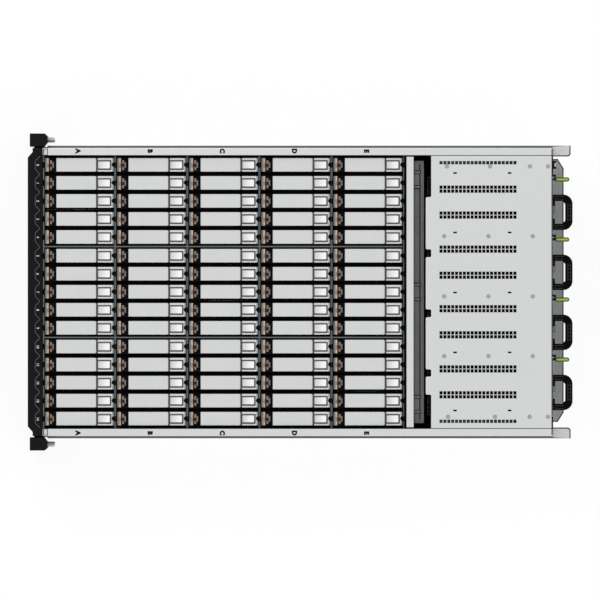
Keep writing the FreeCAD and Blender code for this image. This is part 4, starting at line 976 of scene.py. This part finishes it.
CHIPS = ((-60, 40, 22, 22, 3), (-62, 110, 30, 14, 6), (58, 60, 16, 30, 5), (52, 130, 26, 10, 4),
         (20, 30, 10, 10, 3), (-20, 150, 12, 12, 3))
for body in ("expander_a", "expander_b"):
    redone(body + "_tray", body + "_body", [GALV], 0.25, body=body)
    (x0, y0, z0), (x1, face, _) = mm(body + "_tray")
    x, board, port = (x0 + x1) / 2, z0 + 7, z0 + 9
    s = Shape()
    s.box((x0 + 3.1, y0 + 2.2, board - 0.05), (x1 - 3.1, face - 3.2, board + 0.12), BOARD, 0.02)
    for px in (x - 26, x - 2):
        s.bar(px, 5.6, (face - 23.5, face - 6), (port + 4.2, port + 8.0), BLACK, 0.3)
        for c in range(8):
            s.bar(px - 4.75 + 1.35 * c, 0.25, (face - 8, face - 6.2), (port + 8.0, port + 8.15), GOLD, 0.02)
        s.disc((port + 17.5, px), 1.1, face - 0.2, face + 0.25, LENS, "y", 16, 0.1)
    s.bar(x + 30, 5.9, (face - 13.9, face - 11.5), (port + 0.1, port + 11.9), BLACK, 0.2)
    for c in range(8):
        s.bar(x + 26.1 + 1.1 * c, 0.2, (face - 11.6, face - 4.0), (port + 9.0, port + 9.5), GOLD, 0.05)
    for dx, mat in ((-58, LENS), (-52, AMBER), (58, LENS)):
        s.disc((z0 + 12, x + dx), 1.3, face - 0.2, face + 0.25, mat, "y", 16, 0.1)
    for dx in (-78, 78):
        s.disc((z0 + 8, x + dx), 2.0, face - 0.2, face + 0.45, STEEL, "y", 20, 0.2)
    for dx, dy, w, d, h in CHIPS:
        s.bar(x + dx, w / 2, (y0 + dy, y0 + dy + d), (board, board + h), BLACK, 0.3)
    s.piece(body + "_details", body)
    for end in ("left", "right"):
        dress("%s_lever_%s" % (body, end), LEVER, 0.8)

# ------------------------------------------------------------------ thumbscrew

KNURLS = 72
lo, hi = mm("rear_thumbscrew")
x, z, rear = (lo[0] + hi[0]) / 2, (lo[2] + hi[2]) / 2, hi[1]
radius = (hi[0] - lo[0]) / 2 + 0.7
ridges, grooves = circle(z, x, radius, KNURLS), circle(z, x, radius - 0.32, KNURLS)
screw = Shape()
screw.prism([(grooves if n % 2 else ridges)[n] for n in range(KNURLS)], rear - 5.6, rear - 0.5,
            BLACK, "y", 0.4)
screw.disc((z, x), radius - 1.4, rear - 0.6, rear, STEEL, "y", 36, 0.3)
# the slot in the screw's end: painted shade
screw.bar(x, 3.4, (rear - 0.3, rear), (z - 0.45, z + 0.45), RECESS_SHADE, 0.05)
# a white bar along the top of the knurled head: a painted highlight
screw.bar(x, 2.6, (rear - 3.5, rear - 1.5), (z + radius - 1.2, z + radius), PRINT_AND_GLINT_WHITE, 0.2)
screw.turned(x, z, [(lo[1], 1.4), (lo[1] + 0.6, 2.0), (rear - 5.5, 2.0)], STEEL)
screw.piece("thumbscrew_knurled", "thumbscrew", ("rear_thumbscrew",), "steel", 25)


# ------------------------------------------------------------------ camera, light, floor

def area_light(name, at, size, power):
    light = bpy.data.lights.new(name, "AREA")
    light.shape, light.size, light.energy = "SQUARE", size, power
    obj = linked(name, light)
    obj.location = at
    obj.rotation_euler = (-Vector(at)).to_track_quat("-Z", "Y").to_euler()


area_light("key_light", (-2.2, -1.2, 3.2), 2.6, 34)
area_light("fill_light", (2.4, 1.4, 2.6), 2.6, 16)

# the sky lights the part evenly; seen straight from the camera it is plain white
world = bpy.data.worlds.new("studio")
bpy.context.scene.world = world
world.use_nodes = True
tree = world.node_tree
sky, plain = tree.nodes["Background"], tree.nodes.new("ShaderNodeBackground")
for background, strength in ((sky, 0.72), (plain, 1.0)):
    background.inputs["Color"].default_value = (1.0, 1.0, 1.0, 1.0)
    background.inputs["Strength"].default_value = strength
path, seen = tree.nodes.new("ShaderNodeLightPath"), tree.nodes.new("ShaderNodeMixShader")
tree.links.new(path.outputs["Is Camera Ray"], seen.inputs["Fac"])
tree.links.new(sky.outputs[0], seen.inputs[1])
tree.links.new(plain.outputs[0], seen.inputs[2])
tree.links.new(seen.outputs[0], tree.nodes["World Output"].inputs["Surface"])

# the floor has a faint glow; seen straight from the camera it is near white paper with a trace of shadow
FLOOR_HALF, FLOOR_Z = 40, -0.0005
floor_mesh = bpy.data.meshes.new("floor")
corners = [(x * FLOOR_HALF, y * FLOOR_HALF, FLOOR_Z) for x, y in ((-1, -1), (1, -1), (1, 1), (-1, 1))]
floor_mesh.from_pydata(corners, [], [(0, 1, 2, 3)])
floor = linked("floor", floor_mesh)
f = Nodes("floor_white")
f.look(f.mix(f.ranged(f.noise(3), 0, 1), grey(0.93), grey(0.95)), 0.9)
glowing, pale = f.node("ShaderNodeAddShader"), f.node("ShaderNodeMixShader")
direct = f.math("MULTIPLY", f.node("ShaderNodeLightPath").outputs["Is Camera Ray"], 0.86)
for value, socket in ((f.shader.outputs[0], glowing.inputs[0]),
                      (f.node("ShaderNodeEmission", Strength=0.22).outputs[0], glowing.inputs[1]),
                      (direct, pale.inputs["Fac"]), (glowing.outputs[0], pale.inputs[1]),
                      (f.node("ShaderNodeEmission", Strength=1.0).outputs[0], pale.inputs[2]),
                      (pale.outputs[0], f.tree.nodes["Material Output"].inputs["Surface"])):
    f.put(value, socket)
floor_mesh.materials.append(f.mat)

MM_PER_PIXEL, PIXELS, SENSOR, DISTANCE = 1.522, 600, 36.0, 42.0
cam_data = bpy.data.cameras.new("camera")
cam_data.sensor_width = SENSOR
cam_data.lens = SENSOR / (PIXELS * MM_PER_PIXEL / 1000) * (DISTANCE - TOP / 1000)
cam_data.clip_start, cam_data.clip_end = 0.1, 200.0
camera = linked("camera", cam_data)
camera.location = (0.0122, (Y_FRONT + 414.4) / 1000, DISTANCE)
camera.rotation_euler = (0.0, 0.0, math.pi / 2)
bpy.context.scene.camera = camera
bpy.context.scene.view_settings.view_transform = "Standard"
